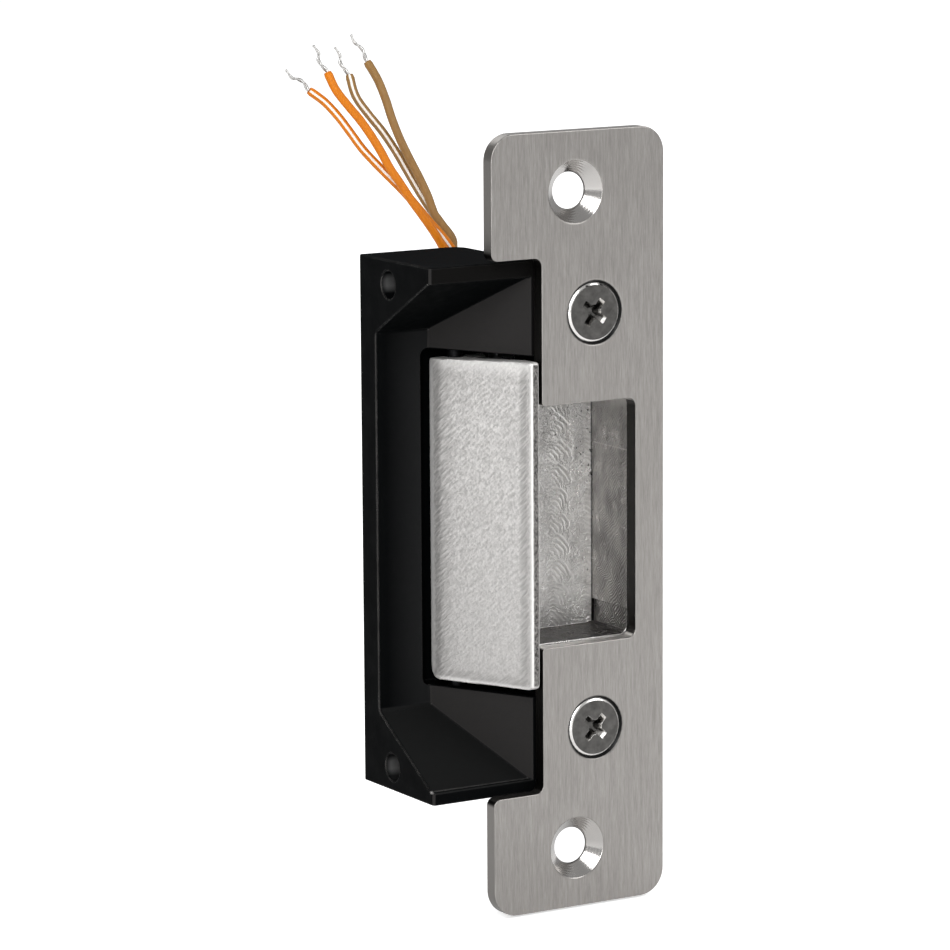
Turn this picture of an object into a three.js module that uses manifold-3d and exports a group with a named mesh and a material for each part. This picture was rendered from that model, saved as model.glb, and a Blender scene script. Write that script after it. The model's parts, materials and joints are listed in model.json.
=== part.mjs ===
// An electric door strike for a 4-7/8 x 1-1/4 inch frame cut-out, in millimetres.
// The faceplate stands upright with its front face at y = 0 facing -y, and its middle is the
// origin. The housing is behind it, at +y. The door leaves towards -x, where the keeper opens.
import * as THREE from "three";
import { mergeVertices } from "three/addons/utils/BufferGeometryUtils.js";
import Module from "manifold-3d";

const wasm = await Module();
wasm.setup();

// ---- driving dimensions ----
const GAP = 0.3; // between pieces that touch on the real strike
const RUNNING = 0.1; // radial clearance of a turning pin

const PLATE = { width: 31.75, height: 123.825, thickness: 2.4, corner: 4.2 };
const NOTCH = { edge: -6.75, top: 42.35, bottom: -42.7, outer: 1.2, inner: 1.3 };
const CUTOUT = { right: 10.6, top: 19.1, bottom: -19.4, corner: 1.4, mouth: 0.6 };
const FRAME_HOLE = { x: -0.5, spacing: 104.775, head: 5.05, bore: 2.9 };
const BODY_SCREW = { x: 3, z: 33.2, head: 4.85, shank: 2.4, end: 8.4, inset: 0.08, land: 0.35 };

const FRONT = PLATE.thickness + GAP; // front of everything that rests on the plate's back
const LEFT_BLOCK = { left: -25.4, right: -6.8, back: 24.5, top: 41.85, bottom: -42.95 };
const PLATE_LUG = { left: -8, right: -5.6, back: 7, half: 44.5 };
const RIGHT_BLOCK = { left: -7.2, right: 15.2, back: 22.5, half: 39 };
const POCKET = { floor: 19.5, floorTop: 29.9, floorBottom: -30.8 };
const POCKET_MOUTH = { y: 3.4, top: 39.1, bottom: -40.9 };
const RAMP = { shallow: [-7.05, FRONT], deep: [-15.9, POCKET.floor] };
const WINDOW = { left: -17.2, right: -6, back: 22.3, top: 26.7, bottom: -27.6, corner: 1.3 };
const BAY = { left: -6.5, right: 13.9, front: 9.5, inner: 21.5, outer: 36.4 };
const BRACKET_HOLE = { y: 15.4, heights: [37.9, -39.2], radius: 2.2, depth: 8 };

const POCKET_BLOCK = { left: -6.3, right: 13.4, back: 15.6, half: 20.6 };
const LATCH = { right: 10.7, floor: 13, half: 19.2, corner: 1.4 };
const LATCH_STEP = { depth: 0.45, height: 3.7, front: 3.2 };
const BLOCK_SCREW = { x: 4, z: 8, head: 2.6, shank: 1.4, seat: 19.2, tip: 13.6 };

const PIVOT = { x: -12, y: 17.6, radius: 1.25, bottom: -42, top: 36.5 };
const KEEPER = { reach: 27, barrel: 4.08, lip: 1.3, lipDepth: 4, lipX: -7.2, wall: 3, corner: 3 };
const KEEPER_ENDS = { topFront: 26.2, topDeep: 25.2, bottomFront: -26, bottomDeep: -26.4 };
const LIP_CORNER = { top: 0.7, bottom: 1.2 };
const CAM = { bottom: 21, low: 21.6, high: 25.4, start: -50, sweep: 88, base: 4.1, rise: 2.4 };
const COIL_ROOM = { half: 7, radius: 3, back: 23, front: 13.2 };
const KEEPER_SPRING = { mean: 2.1, wire: 0.35, half: 6, turns: 9, leg: 3.2, legHalf: 0.28 };

const LEVER_PIN = { x: -2.4, y: 19.3, radius: 1, bottom: 18.9, top: 38.4 };
const LEVER = { low: 21.7, high: 25.3, top: 31, hub: 2, nose: 0.9, arm: 1, root: 1.2, eye: 1.5 };
const LEVER_BENDS = { elbow: [-6.4, 11.7], knee: [-3.2, 14.2] };
const LINK = { x: LEVER_PIN.x, y: 15, z: 28.6, radius: 0.75, fork: 0.7, gap: 0.4, ply: 1.3 };

const SOLENOID = { left: 3.4, right: 13.4, ply: 1, half: 4.6, back: 20.5 };
const BOBBIN = { left: 4.7, right: 12.1, flange: 0.7, outer: 4.3, tube: 2.3, bore: 1.95 };
const WINDING = { left: 5.7, right: 11.1, outer: 4.1, inner: 2.6 };
const PLUNGER = { radius: 1.6, right: 6.6, collar: 2.6, collarLeft: -0.7, collarRight: 0 };
const TONGUE = { reach: 1.7, half: 1.5, slotAcross: 0.9, slotAlong: 1.1 };
const CORE = { left: 8.1, right: 13.7, radius: 1.6 };
const PLUNGER_SPRING = { left: 0.3, right: 3.1, mean: 2.15, wire: 0.2, turns: 4 };

const COVER = { left: -6.4, right: 14.8, front: 22.8, back: 24, half: 38.6, corner: 2 };
const COVER_SCREWS = [
  [-4.3, 36.6],
  [12.3, 36.6],
  [-4.3, -36.6],
  [12.3, -36.6],
];
const COVER_SCREW = { head: 1.9, height: 1.2, shank: 0.95, tip: 17.5, hole: 1.3, boss: 2.3 };
const GROMMET = { x: -2.8, z: 31, neck: 2.5, flange: 3.6, inner: 2.9, back: 26, front: 21.9 };
const LEAD = { radius: 0.7, strand: 0.35, sides: 8 };

// ---- colours, roughness and metalness ----
const FINISH = {
  brushed: { color: 0xa8a39e, roughness: 0.42, metalness: 1 },
  casting: { color: 0x17181a, roughness: 0.55, metalness: 0.2 },
  keeper: { color: 0xc9c7c4, roughness: 0.45, metalness: 1 },
  milled: { color: 0xb0ada9, roughness: 0.35, metalness: 1 },
  screw: { color: 0x7a7977, roughness: 0.35, metalness: 1 },
  spring: { color: 0x8f9194, roughness: 0.3, metalness: 1 },
  oxide: { color: 0x242427, roughness: 0.5, metalness: 1 },
  zinc: { color: 0xb4b6ba, roughness: 0.4, metalness: 1 },
  nylon: { color: 0xd9d4c6, roughness: 0.6, metalness: 0 },
  copper: { color: 0xb0602f, roughness: 0.35, metalness: 1 },
  rubber: { color: 0x151515, roughness: 0.8, metalness: 0 },
  orange: { color: 0xf08c19, roughness: 0.5, metalness: 0 },
  brown: { color: 0x967341, roughness: 0.5, metalness: 0 },
  tinned: { color: 0x9a9a98, roughness: 0.35, metalness: 1 },
};

// ---- solids and their joins ----
function solidOf(geometry) {
  const bare = geometry.clone();
  bare.deleteAttribute("normal");
  bare.deleteAttribute("uv");
  const merged = mergeVertices(bare, 1e-4);
  const mesh = new wasm.Mesh({
    numProp: 3,
    vertProperties: new Float32Array(merged.attributes.position.array),
    triVerts: new Uint32Array(merged.index.array),
  });
  return new wasm.Manifold(mesh);
}

function geometryOf(solid) {
  const mesh = solid.getMesh();
  const geometry = new THREE.BufferGeometry();
  geometry.setAttribute("position", new THREE.BufferAttribute(mesh.vertProperties, 3));
  geometry.setIndex(new THREE.BufferAttribute(mesh.triVerts, 1));
  geometry.computeVertexNormals();
  return geometry;
}

const group = new THREE.Group();

function addPart(name, solid, finish) {
  const mesh = new THREE.Mesh(geometryOf(solid), new THREE.MeshStandardMaterial(FINISH[finish]));
  mesh.name = name;
  group.add(mesh);
}

const join = (solids) => solids.reduce((whole, solid) => whole.add(solid));
const cut = (solid, tools) => solid.subtract(join(tools));

// ---- basic shapes ----
function box([x0, x1], [y0, y1], [z0, z1]) {
  const geometry = new THREE.BoxGeometry(x1 - x0, y1 - y0, z1 - z0);
  geometry.translate((x0 + x1) / 2, (y0 + y1) / 2, (z0 + z1) / 2);
  return solidOf(geometry);
}

// A closed outline whose corners, given as [a, b, radius], are arcs.
function outline(corners) {
  const shape = new THREE.Shape();
  const count = corners.length;
  corners.forEach(([a, b, radius = 0], i) => {
    const corner = new THREE.Vector2(a, b);
    const before = new THREE.Vector2(...corners[(i + count - 1) % count].slice(0, 2));
    const after = new THREE.Vector2(...corners[(i + 1) % count].slice(0, 2));
    const back = before.sub(corner).normalize();
    const ahead = after.sub(corner).normalize();
    if (radius === 0) {
      i === 0 ? shape.moveTo(a, b) : shape.lineTo(a, b);
      return;
    }
    const half = Math.acos(back.dot(ahead)) / 2;
    const reach = radius / Math.tan(half);
    const middle = back.clone().add(ahead).normalize();
    const centre = corner.clone().addScaledVector(middle, radius / Math.sin(half));
    const from = corner.clone().addScaledVector(back, reach).sub(centre);
    const to = corner.clone().addScaledVector(ahead, reach).sub(centre);
    const start = centre.clone().add(from);
    i === 0 ? shape.moveTo(start.x, start.y) : shape.lineTo(start.x, start.y);
    const clockwise = back.cross(ahead) > 0;
    shape.absarc(centre.x, centre.y, radius, from.angle(), to.angle(), clockwise);
  });
  shape.closePath();
  return shape;
}

const ALONG = {
  x: new THREE.Matrix4().makeBasis(
    new THREE.Vector3(0, 1, 0),
    new THREE.Vector3(0, 0, 1),
    new THREE.Vector3(1, 0, 0),
  ),
  y: new THREE.Matrix4().makeBasis(
    new THREE.Vector3(1, 0, 0),
    new THREE.Vector3(0, 0, 1),
    new THREE.Vector3(0, -1, 0),
  ),
  z: new THREE.Matrix4(),
};

// An outline pushed along an axis: its own two directions are y,z along x; x,z along y; x,y along z.
function prism(axis, shape, low, high, steps = 5) {
  const settings = { depth: high - low, bevelEnabled: false, curveSegments: steps };
  const geometry = new THREE.ExtrudeGeometry(shape, settings);
  geometry.applyMatrix4(ALONG[axis]);
  const shift = { x: [low, 0, 0], y: [0, high, 0], z: [0, 0, low] }[axis];
  geometry.translate(...shift);
  return solidOf(geometry);
}

// A solid of revolution about an axis through [x, y, z]: the profile lists [radius, distance].
function turned(axis, [x, y, z], profile, sides = 24) {
  const points = profile.map(([radius, along]) => new THREE.Vector2(radius, along));
  const geometry = new THREE.LatheGeometry(points, sides);
  if (axis === "z") geometry.rotateX(Math.PI / 2);
  if (axis === "x") geometry.rotateZ(-Math.PI / 2);
  geometry.translate(x, y, z);
  return solidOf(geometry);
}

const rod = (axis, at, radius, low, high, sides = 24) =>
  turned(
    axis,
    at,
    [
      [0, low],
      [radius, low],
      [radius, high],
      [0, high],
    ],
    sides,
  );

const ring = (axis, at, outer, inner, low, high, sides = 24) =>
  turned(
    axis,
    at,
    [
      [inner, low],
      [outer, low],
      [outer, high],
      [inner, high],
      [inner, low],
    ],
    sides,
  );

// A round-ended bar between two points of the x,y plane.
function bar([ax, ay], [bx, by], radius, low, high) {
  const along = new THREE.Vector2(bx - ax, by - ay);
  const turn = along.angle();
  const shape = new THREE.Shape();
  shape.absarc(ax, ay, radius, turn + Math.PI / 2, turn + 1.5 * Math.PI, false);
  shape.absarc(bx, by, radius, turn - Math.PI / 2, turn + Math.PI / 2, false);
  shape.closePath();
  return prism("z", shape, low, high, 8);
}

// A round bar that follows a curve, with flat ends.
function rodAlong(curve, radius, sides, steps) {
  const section = new THREE.Shape();
  for (let i = 0; i < sides; i += 1) {
    const turn = (2 * Math.PI * i) / sides;
    const point = [radius * Math.cos(turn), radius * Math.sin(turn)];
    i === 0 ? section.moveTo(...point) : section.lineTo(...point);
  }
  section.closePath();
  const settings = { steps, extrudePath: curve, curveSegments: 1 };
  return solidOf(new THREE.ExtrudeGeometry(section, settings));
}

const radians = (degrees) => (degrees * Math.PI) / 180;
const ends = [1, -1];

// ---- faceplate ----
function faceplateOutline() {
  const side = PLATE.width / 2;
  const top = PLATE.height / 2;
  return outline([
    [-side, top, PLATE.corner],
    [-side, NOTCH.top, NOTCH.outer],
    [NOTCH.edge, NOTCH.top, NOTCH.inner],
    [NOTCH.edge, CUTOUT.top, CUTOUT.mouth],
    [CUTOUT.right, CUTOUT.top, CUTOUT.corner],
    [CUTOUT.right, CUTOUT.bottom, CUTOUT.corner],
    [NOTCH.edge, CUTOUT.bottom, CUTOUT.mouth],
    [NOTCH.edge, NOTCH.bottom, NOTCH.inner],
    [-side, NOTCH.bottom, NOTCH.outer],
    [-side, -top, PLATE.corner],
    [side, -top, PLATE.corner],
    [side, top, PLATE.corner],
  ]);
}

// A countersunk hole: the cone is as deep as it is wider than the bore.
function countersink(x, z, head, bore, depth) {
  const over = 1;
  const profile = [
    [0, -over],
    [head, -over],
    [head, 0],
    [bore, head - bore],
    [bore, depth],
    [0, depth],
  ];
  return turned("y", [x, 0, z], profile, 32);
}

function faceplate() {
  const blank = prism("y", faceplateOutline(), 0, PLATE.thickness, 6);
  const frameHoles = ends.map((end) => {
    const z = (end * FRAME_HOLE.spacing) / 2;
    return countersink(FRAME_HOLE.x, z, FRAME_HOLE.head, FRAME_HOLE.bore, PLATE.thickness + 1);
  });
  const { x, z, head, shank, land } = BODY_SCREW;
  const bodyHoles = ends.map((end) =>
    countersink(x, end * z, head + land, shank + land, PLATE.thickness + 1),
  );
  return cut(blank, [...frameHoles, ...bodyHoles]);
}

// ---- countersunk screw with a cross recess ----
const CROSS_ARM = 0.42; // an arm's width for each unit of its length

function crossRecess([x, y, z], reach, depth, turn) {
  const arms = [turn, turn + Math.PI / 2].map((angle) => {
    const geometry = new THREE.BoxGeometry(2 * reach, 2 * depth, CROSS_ARM * reach);
    geometry.rotateY(angle);
    geometry.translate(x, y, z);
    return solidOf(geometry);
  });
  return join(arms);
}

function faceplateScrew(end) {
  const { x, z, head, shank, end: tip, inset } = BODY_SCREW;
  const rim = inset + 0.15;
  const point = 0.8;
  const profile = [
    [0, inset],
    [head, inset],
    [head, rim],
    [shank, rim + head - shank],
    [shank, tip - point],
    [shank - point, tip],
    [0, tip],
  ];
  const body = turned("y", [x, 0, end * z], profile, 32);
  return body.subtract(crossRecess([x, inset, end * z], 2.7, 1.6, radians(50)));
}

// ---- housing casting ----
function keeperPocket() {
  const { floor, floorTop, floorBottom } = POCKET;
  const { y: mouth, top, bottom } = POCKET_MOUTH;
  const front = 1;
  const cross = outline([
    [front, bottom],
    [mouth, bottom, 0.6],
    [floor, floorBottom, 1.2],
    [floor, floorTop, 1.2],
    [mouth, top, 0.6],
    [front, top],
  ]);
  const left = LEFT_BLOCK.left - 1;
  const region = outline([
    [left, front],
    [RAMP.shallow[0], front],
    RAMP.shallow,
    [...RAMP.deep, 0.8],
    [left, floor],
  ]);
  return prism("x", cross, left, 0).intersect(prism("z", region, bottom - 1, top + 1));
}

function keeperWindow() {
  const { left, right, back, top, bottom, corner } = WINDOW;
  const shape = outline([
    [left, bottom, corner],
    [right, bottom],
    [right, top],
    [left, top, corner],
  ]);
  return prism("y", shape, 0, back, 6);
}

function castingBlanks() {
  const { left, right, back, top, bottom } = LEFT_BLOCK;
  const lead = outline([
    [left, FRONT, 0.7],
    [right, FRONT],
    [right, back, 2.5],
    [left, back, 0.5],
  ]);
  const lug = PLATE_LUG;
  const rear = outline([
    [RIGHT_BLOCK.left, FRONT],
    [RIGHT_BLOCK.right, FRONT, 0.8],
    [RIGHT_BLOCK.right, RIGHT_BLOCK.back, 0.8],
    [RIGHT_BLOCK.left, RIGHT_BLOCK.back],
  ]);
  return join([
    prism("z", lead, bottom, top),
    prism("z", rear, -RIGHT_BLOCK.half, RIGHT_BLOCK.half),
    box([lug.left, lug.right], [FRONT, lug.back], [-lug.half, lug.half]),
  ]);
}

function mechanismBay(end) {
  const [low, high] = end > 0 ? [BAY.inner, BAY.outer] : [-BAY.outer, -BAY.inner];
  return box([BAY.left, BAY.right], [BAY.front, COVER.back], [low, high]);
}

function blockSeat() {
  const { left, right, back, half } = POCKET_BLOCK;
  return box([left - 1, right + GAP], [0, back + GAP], [-half - GAP, half + GAP]);
}

function housing() {
  const hollow = [keeperPocket(), keeperWindow(), blockSeat(), ...ends.map(mechanismBay)];
  const bosses = COVER_SCREWS.map(([x, z]) =>
    rod("y", [x, 0, z], COVER_SCREW.boss, BAY.front - 1, RIGHT_BLOCK.back),
  );
  const bracketHoles = BRACKET_HOLE.heights.map((z) =>
    rod("x", [LEFT_BLOCK.left, BRACKET_HOLE.y, z], BRACKET_HOLE.radius, -1, BRACKET_HOLE.depth),
  );
  const screwHoles = ends.map((end) => {
    const at = [BODY_SCREW.x, 0, end * BODY_SCREW.z];
    return rod("y", at, BODY_SCREW.shank + GAP, 0, BODY_SCREW.end + GAP);
  });
  const coverHoles = COVER_SCREWS.map(([x, z]) =>
    rod("y", [x, 0, z], COVER_SCREW.shank + GAP, COVER_SCREW.tip - GAP, COVER.back, 16),
  );
  const blockHoles = ends.map(blockScrewHole);
  const pivotHole = rod(
    "z",
    [PIVOT.x, PIVOT.y, 0],
    PIVOT.radius + GAP,
    LEFT_BLOCK.bottom - 1,
    PIVOT.top + GAP,
  );
  const leverPinHole = rod(
    "z",
    [LEVER_PIN.x, LEVER_PIN.y, 0],
    LEVER_PIN.radius + GAP,
    LEVER_PIN.bottom - GAP,
    RIGHT_BLOCK.half + 1,
  );
  const shell = cut(castingBlanks(), hollow).add(join(bosses));
  const drilled = [...bracketHoles, ...screwHoles, ...coverHoles, ...blockHoles];
  return cut(shell, [...drilled, pivotHole, leverPinHole]);
}

// ---- milled block around the latch pocket ----
function latchPocket() {
  const { right, floor, half, corner } = LATCH;
  const shape = outline([
    [POCKET_BLOCK.left - 1, -half],
    [right, -half, corner],
    [right, half, corner],
    [POCKET_BLOCK.left - 1, half],
  ]);
  const low = -half + 0.2;
  const step = box(
    [right - 1, right + LATCH_STEP.depth],
    [LATCH_STEP.front, floor],
    [low, low + LATCH_STEP.height],
  );
  return prism("y", shape, 0, floor).add(step);
}

function latchBlock() {
  const { left, right, back, half } = POCKET_BLOCK;
  const blank = box([left, right], [FRONT, back], [-half, half]);
  const threads = ends.map((end) => {
    const at = [BLOCK_SCREW.x, 0, end * BLOCK_SCREW.z];
    return rod("y", at, BLOCK_SCREW.shank + GAP, BLOCK_SCREW.tip - GAP, back + 1, 16);
  });
  return cut(blank, [latchPocket(), ...threads]);
}

function blockScrewHole(end) {
  const { x, z, head, shank, seat } = BLOCK_SCREW;
  const profile = [
    [0, POCKET_BLOCK.back],
    [shank + GAP, POCKET_BLOCK.back],
    [shank + GAP, seat - GAP],
    [head + GAP, seat - GAP],
    [head + GAP, COVER.back],
    [0, COVER.back],
  ];
  return turned("y", [x, 0, end * z], profile, 24);
}

function blockScrew(end) {
  const { x, z, head, shank, seat, tip } = BLOCK_SCREW;
  const top = seat + 1.8;
  const profile = [
    [0, tip],
    [shank, tip],
    [shank, seat],
    [head, seat],
    [head, top - 0.3],
    [head - 0.3, top],
    [0, top],
  ];
  const body = turned("y", [x, 0, end * z], profile, 20);
  return body.subtract(crossRecess([x, top, end * z], 1.5, 1, radians(20)));
}

// ---- keeper ----
// The outer face runs straight from the lip to the barrel that holds the pivot pin.
function tangentPoint([x, y], side) {
  const away = new THREE.Vector2(PIVOT.x - x, PIVOT.y - y);
  const reach = Math.sqrt(away.lengthSq() - KEEPER.barrel ** 2);
  const turn = away.angle() + side * Math.asin(KEEPER.barrel / away.length());
  return new THREE.Vector2(x + reach * Math.cos(turn), y + reach * Math.sin(turn));
}

const barrelAngle = (point) => Math.atan2(point.y - PIVOT.y, point.x - PIVOT.x);
const LIP_OUTER = [KEEPER.lipX - KEEPER.lip, 0.05];
const LIP_INNER = [KEEPER.lipX, 0.05];
const OUTER_TANGENT = tangentPoint(LIP_OUTER, 1);

function keeperBody() {
  const inner = tangentPoint([KEEPER.lipX, KEEPER.lipDepth], -1);
  const shape = new THREE.Shape();
  shape.moveTo(...LIP_OUTER);
  shape.lineTo(...LIP_INNER);
  shape.lineTo(KEEPER.lipX, KEEPER.lipDepth);
  shape.lineTo(inner.x, inner.y);
  shape.absarc(
    PIVOT.x,
    PIVOT.y,
    KEEPER.barrel,
    barrelAngle(inner),
    barrelAngle(OUTER_TANGENT),
    false,
  );
  shape.closePath();
  return prism("z", shape, -KEEPER.reach, CAM.bottom, 16);
}

// Above the cam's foot the keeper is only a wall, which leaves the lever's nose its room.
function keeperWall() {
  const face = OUTER_TANGENT.clone().sub(new THREE.Vector2(...LIP_OUTER)).normalize();
  const inward = new THREE.Vector2(face.y, -face.x).multiplyScalar(KEEPER.wall);
  const start = new THREE.Vector2(...LIP_OUTER).add(inward);
  const at = (distance) => start.clone().addScaledVector(face, distance);
  const bend = at((KEEPER.lipX - start.x) / face.x);
  const end = at((PIVOT.y - start.y) / face.y);
  const wall = new THREE.Shape();
  wall.moveTo(...LIP_OUTER);
  wall.lineTo(...LIP_INNER);
  wall.lineTo(bend.x, bend.y);
  wall.lineTo(end.x, end.y);
  wall.lineTo(OUTER_TANGENT.x, OUTER_TANGENT.y);
  wall.closePath();
  const low = CAM.bottom - 0.5;
  const high = KEEPER.reach;
  const hub = rod("z", [PIVOT.x, PIVOT.y, 0], KEEPER.barrel, low, high, 32);
  return prism("z", wall, low, high).add(hub);
}

// The cam's rim is a spiral, so the lever turns evenly with the keeper.
function keeperCam() {
  const shape = new THREE.Shape();
  shape.moveTo(PIVOT.x, PIVOT.y);
  const steps = 14;
  for (let i = 0; i <= steps; i += 1) {
    const share = i / steps;
    const turn = radians(CAM.start + share * CAM.sweep);
    const radius = CAM.base + share * CAM.rise;
    shape.lineTo(PIVOT.x + radius * Math.cos(turn), PIVOT.y + radius * Math.sin(turn));
  }
  shape.closePath();
  return prism("z", shape, CAM.low, CAM.high);
}

// The deep corners are rounded, and the ends slope a little from the lip to the barrel.
function keeperSilhouette() {
  const { topFront, topDeep, bottomFront, bottomDeep } = KEEPER_ENDS;
  const { corner, barrel } = KEEPER;
  const deep = PIVOT.y + barrel + 0.5;
  const shape = outline([
    [0, bottomFront, LIP_CORNER.bottom],
    [deep, bottomDeep, corner],
    [deep, topDeep, corner],
    [0, topFront, LIP_CORNER.top],
  ]);
  return prism("x", shape, WINDOW.left - 2, 0, 6);
}

function keeper() {
  const { half, radius, back, front } = COIL_ROOM;
  const whole = join([keeperBody(), keeperWall(), keeperCam()]).intersect(keeperSilhouette());
  const past = KEEPER.reach + 1;
  const bore = rod("z", [PIVOT.x, PIVOT.y, 0], PIVOT.radius + RUNNING, -past, past, 32);
  const room = rod("z", [PIVOT.x, PIVOT.y, 0], radius, -half, half, 32);
  const opening = box([PIVOT.x, 0], [front, back], [-half, half]);
  return cut(whole, [bore, room, opening]);
}

const keeperPin = () =>
  rod("z", [PIVOT.x, PIVOT.y, 0], PIVOT.radius, PIVOT.bottom, PIVOT.top, 32);

// ---- springs ----
class Helix extends THREE.Curve {
  constructor(at, axis, mean, low, high, turns) {
    super();
    Object.assign(this, { at, axis, mean, low, high, turns });
  }

  getPoint(share, target = new THREE.Vector3()) {
    const turn = 2 * Math.PI * this.turns * share;
    const across = [this.mean * Math.cos(turn), this.mean * Math.sin(turn)];
    const along = this.low + share * (this.high - this.low);
    const [x, y, z] = this.at;
    if (this.axis === "z") return target.set(x + across[0], y + across[1], along);
    return target.set(along, y + across[0], z + across[1]);
  }
}

function keeperSpring() {
  const { mean, wire, half, turns, leg, legHalf } = KEEPER_SPRING;
  const coil = new Helix([PIVOT.x, PIVOT.y, 0], "z", mean, -half, half, turns);
  const side = PIVOT.x + mean;
  const overlap = 0.1;
  const legAt = (from, to, z) =>
    box([side - legHalf, side + legHalf], [from, to], [z - legHalf, z + legHalf]);
  const lowLeg = legAt(PIVOT.y - overlap, PIVOT.y + leg, -half);
  const highLeg = legAt(PIVOT.y - leg, PIVOT.y + overlap, half);
  return join([rodAlong(coil, wire, 6, turns * 12), lowLeg, highLeg]);
}

function plungerSpring() {
  const { left, right, mean, wire, turns } = PLUNGER_SPRING;
  const at = [0, LINK.y, LINK.z];
  const coil = new Helix(at, "x", mean, left + wire, right - wire, turns);
  return rodAlong(coil, wire, 6, turns * 12);
}

// ---- locking lever and its pins ----
function lever() {
  const pin = [LEVER_PIN.x, LEVER_PIN.y];
  const reach = CAM.base + GAP + LEVER.nose;
  const turn = radians(CAM.start);
  const nose = [PIVOT.x + reach * Math.cos(turn), PIVOT.y + reach * Math.sin(turn)];
  const { low, high, top, hub, arm, root, eye } = LEVER;
  const { elbow, knee } = LEVER_BENDS;
  const hook = [
    bar(nose, elbow, LEVER.nose, low, high),
    bar(elbow, knee, arm, low, high),
    bar(knee, pin, root, low, high),
  ];
  const { fork, gap, ply, z, radius } = LINK;
  const forkHigh = bar(pin, [LINK.x, LINK.y], eye, z + fork + gap, z + fork + gap + ply);
  const forkLow = bar(pin, [LINK.x, LINK.y], eye, z - fork - gap - ply, z - fork - gap);
  const boss = rod("z", [...pin, 0], hub, low, top);
  const bores = [
    rod("z", [...pin, 0], LEVER_PIN.radius + RUNNING, low - 1, top + 1),
    rod("z", [LINK.x, LINK.y, 0], radius + GAP, low - 1, top + 1, 16),
  ];
  return cut(join([...hook, forkHigh, forkLow, boss]), bores);
}

const leverPin = () =>
  rod("z", [LEVER_PIN.x, LEVER_PIN.y, 0], LEVER_PIN.radius, LEVER_PIN.bottom, LEVER_PIN.top);

function linkPin() {
  const half = LINK.fork + LINK.gap + LINK.ply;
  return rod("z", [LINK.x, LINK.y, 0], LINK.radius, LINK.z - half, LINK.z + half, 16);
}

// ---- solenoid ----
function plunger() {
  const at = [0, LINK.y, LINK.z];
  const { radius, right, collar, collarLeft, collarRight } = PLUNGER;
  const body = rod("x", at, radius, collarLeft, right);
  const flange = rod("x", at, collar, collarLeft, collarRight);
  const { reach, half, slotAcross, slotAlong } = TONGUE;
  const tongue = box(
    [LINK.x - reach, collarRight],
    [LINK.y - half, LINK.y + half],
    [LINK.z - LINK.fork, LINK.z + LINK.fork],
  );
  const slot = box(
    [LINK.x - slotAcross, LINK.x + slotAcross],
    [LINK.y - slotAlong, LINK.y + slotAlong],
    [LINK.z - LINK.fork - 1, LINK.z + LINK.fork + 1],
  );
  return join([body, flange, tongue]).subtract(slot);
}

function solenoidFrame() {
  const { left, right, ply, half, back } = SOLENOID;
  const front = LINK.y - half;
  const across = [LINK.z - half, LINK.z + half];
  const leftPlate = box([left, left + ply], [front, back], across);
  const rightPlate = box([right - ply, right], [front, back], across);
  const web = box([left, right], [back - ply, back], across);
  const hole = rod("x", [0, LINK.y, LINK.z], PLUNGER.radius + GAP, left - 1, right + 1);
  return join([leftPlate, rightPlate, web]).subtract(hole);
}

function bobbin() {
  const { left, right, flange, outer, tube, bore } = BOBBIN;
  const profile = [
    [bore, left],
    [outer, left],
    [outer, left + flange],
    [tube, left + flange],
    [tube, right - flange],
    [outer, right - flange],
    [outer, right],
    [bore, right],
    [bore, left],
  ];
  return turned("x", [0, LINK.y, LINK.z], profile);
}

const winding = () =>
  ring("x", [0, LINK.y, LINK.z], WINDING.outer, WINDING.inner, WINDING.left, WINDING.right);

const core = () => rod("x", [0, LINK.y, LINK.z], CORE.radius, CORE.left, CORE.right);

// ---- back cover, its screws and the grommet ----
function backCover() {
  const { left, right, front, back, half, corner } = COVER;
  const shape = outline([
    [left, -half, corner],
    [right, -half, corner],
    [right, half, corner],
    [left, half, corner],
  ]);
  const blank = prism("y", shape, front, back, 4);
  const holes = COVER_SCREWS.map(([x, z]) =>
    rod("y", [x, 0, z], COVER_SCREW.hole, front - 1, back + 1, 16),
  );
  const outlet = rod("y", [GROMMET.x, 0, GROMMET.z], GROMMET.neck + GAP, front - 1, back + 1);
  return cut(blank, [...holes, outlet]);
}

function coverScrew([x, z]) {
  const { head, height, shank, tip } = COVER_SCREW;
  const seat = COVER.back + GAP;
  const profile = [
    [0, tip],
    [shank, tip],
    [shank, seat],
    [head, seat],
    [head, seat + height * 0.5],
    [head * 0.8, seat + height],
    [0, seat + height],
  ];
  const body = turned("y", [x, 0, z], profile, 20);
  return body.subtract(crossRecess([x, seat + height, z], 1.1, 0.7, radians(35)));
}

function grommet() {
  const { neck, flange, inner, back, front } = GROMMET;
  const profile = [
    [0, front],
    [inner, front],
    [inner, COVER.front - GAP],
    [neck, COVER.front - GAP],
    [neck, COVER.back + GAP],
    [flange, COVER.back + GAP],
    [flange, back - 0.5],
    [flange - 0.6, back],
    [0, back],
  ];
  return turned("y", [GROMMET.x, 0, GROMMET.z], profile, 28);
}

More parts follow.
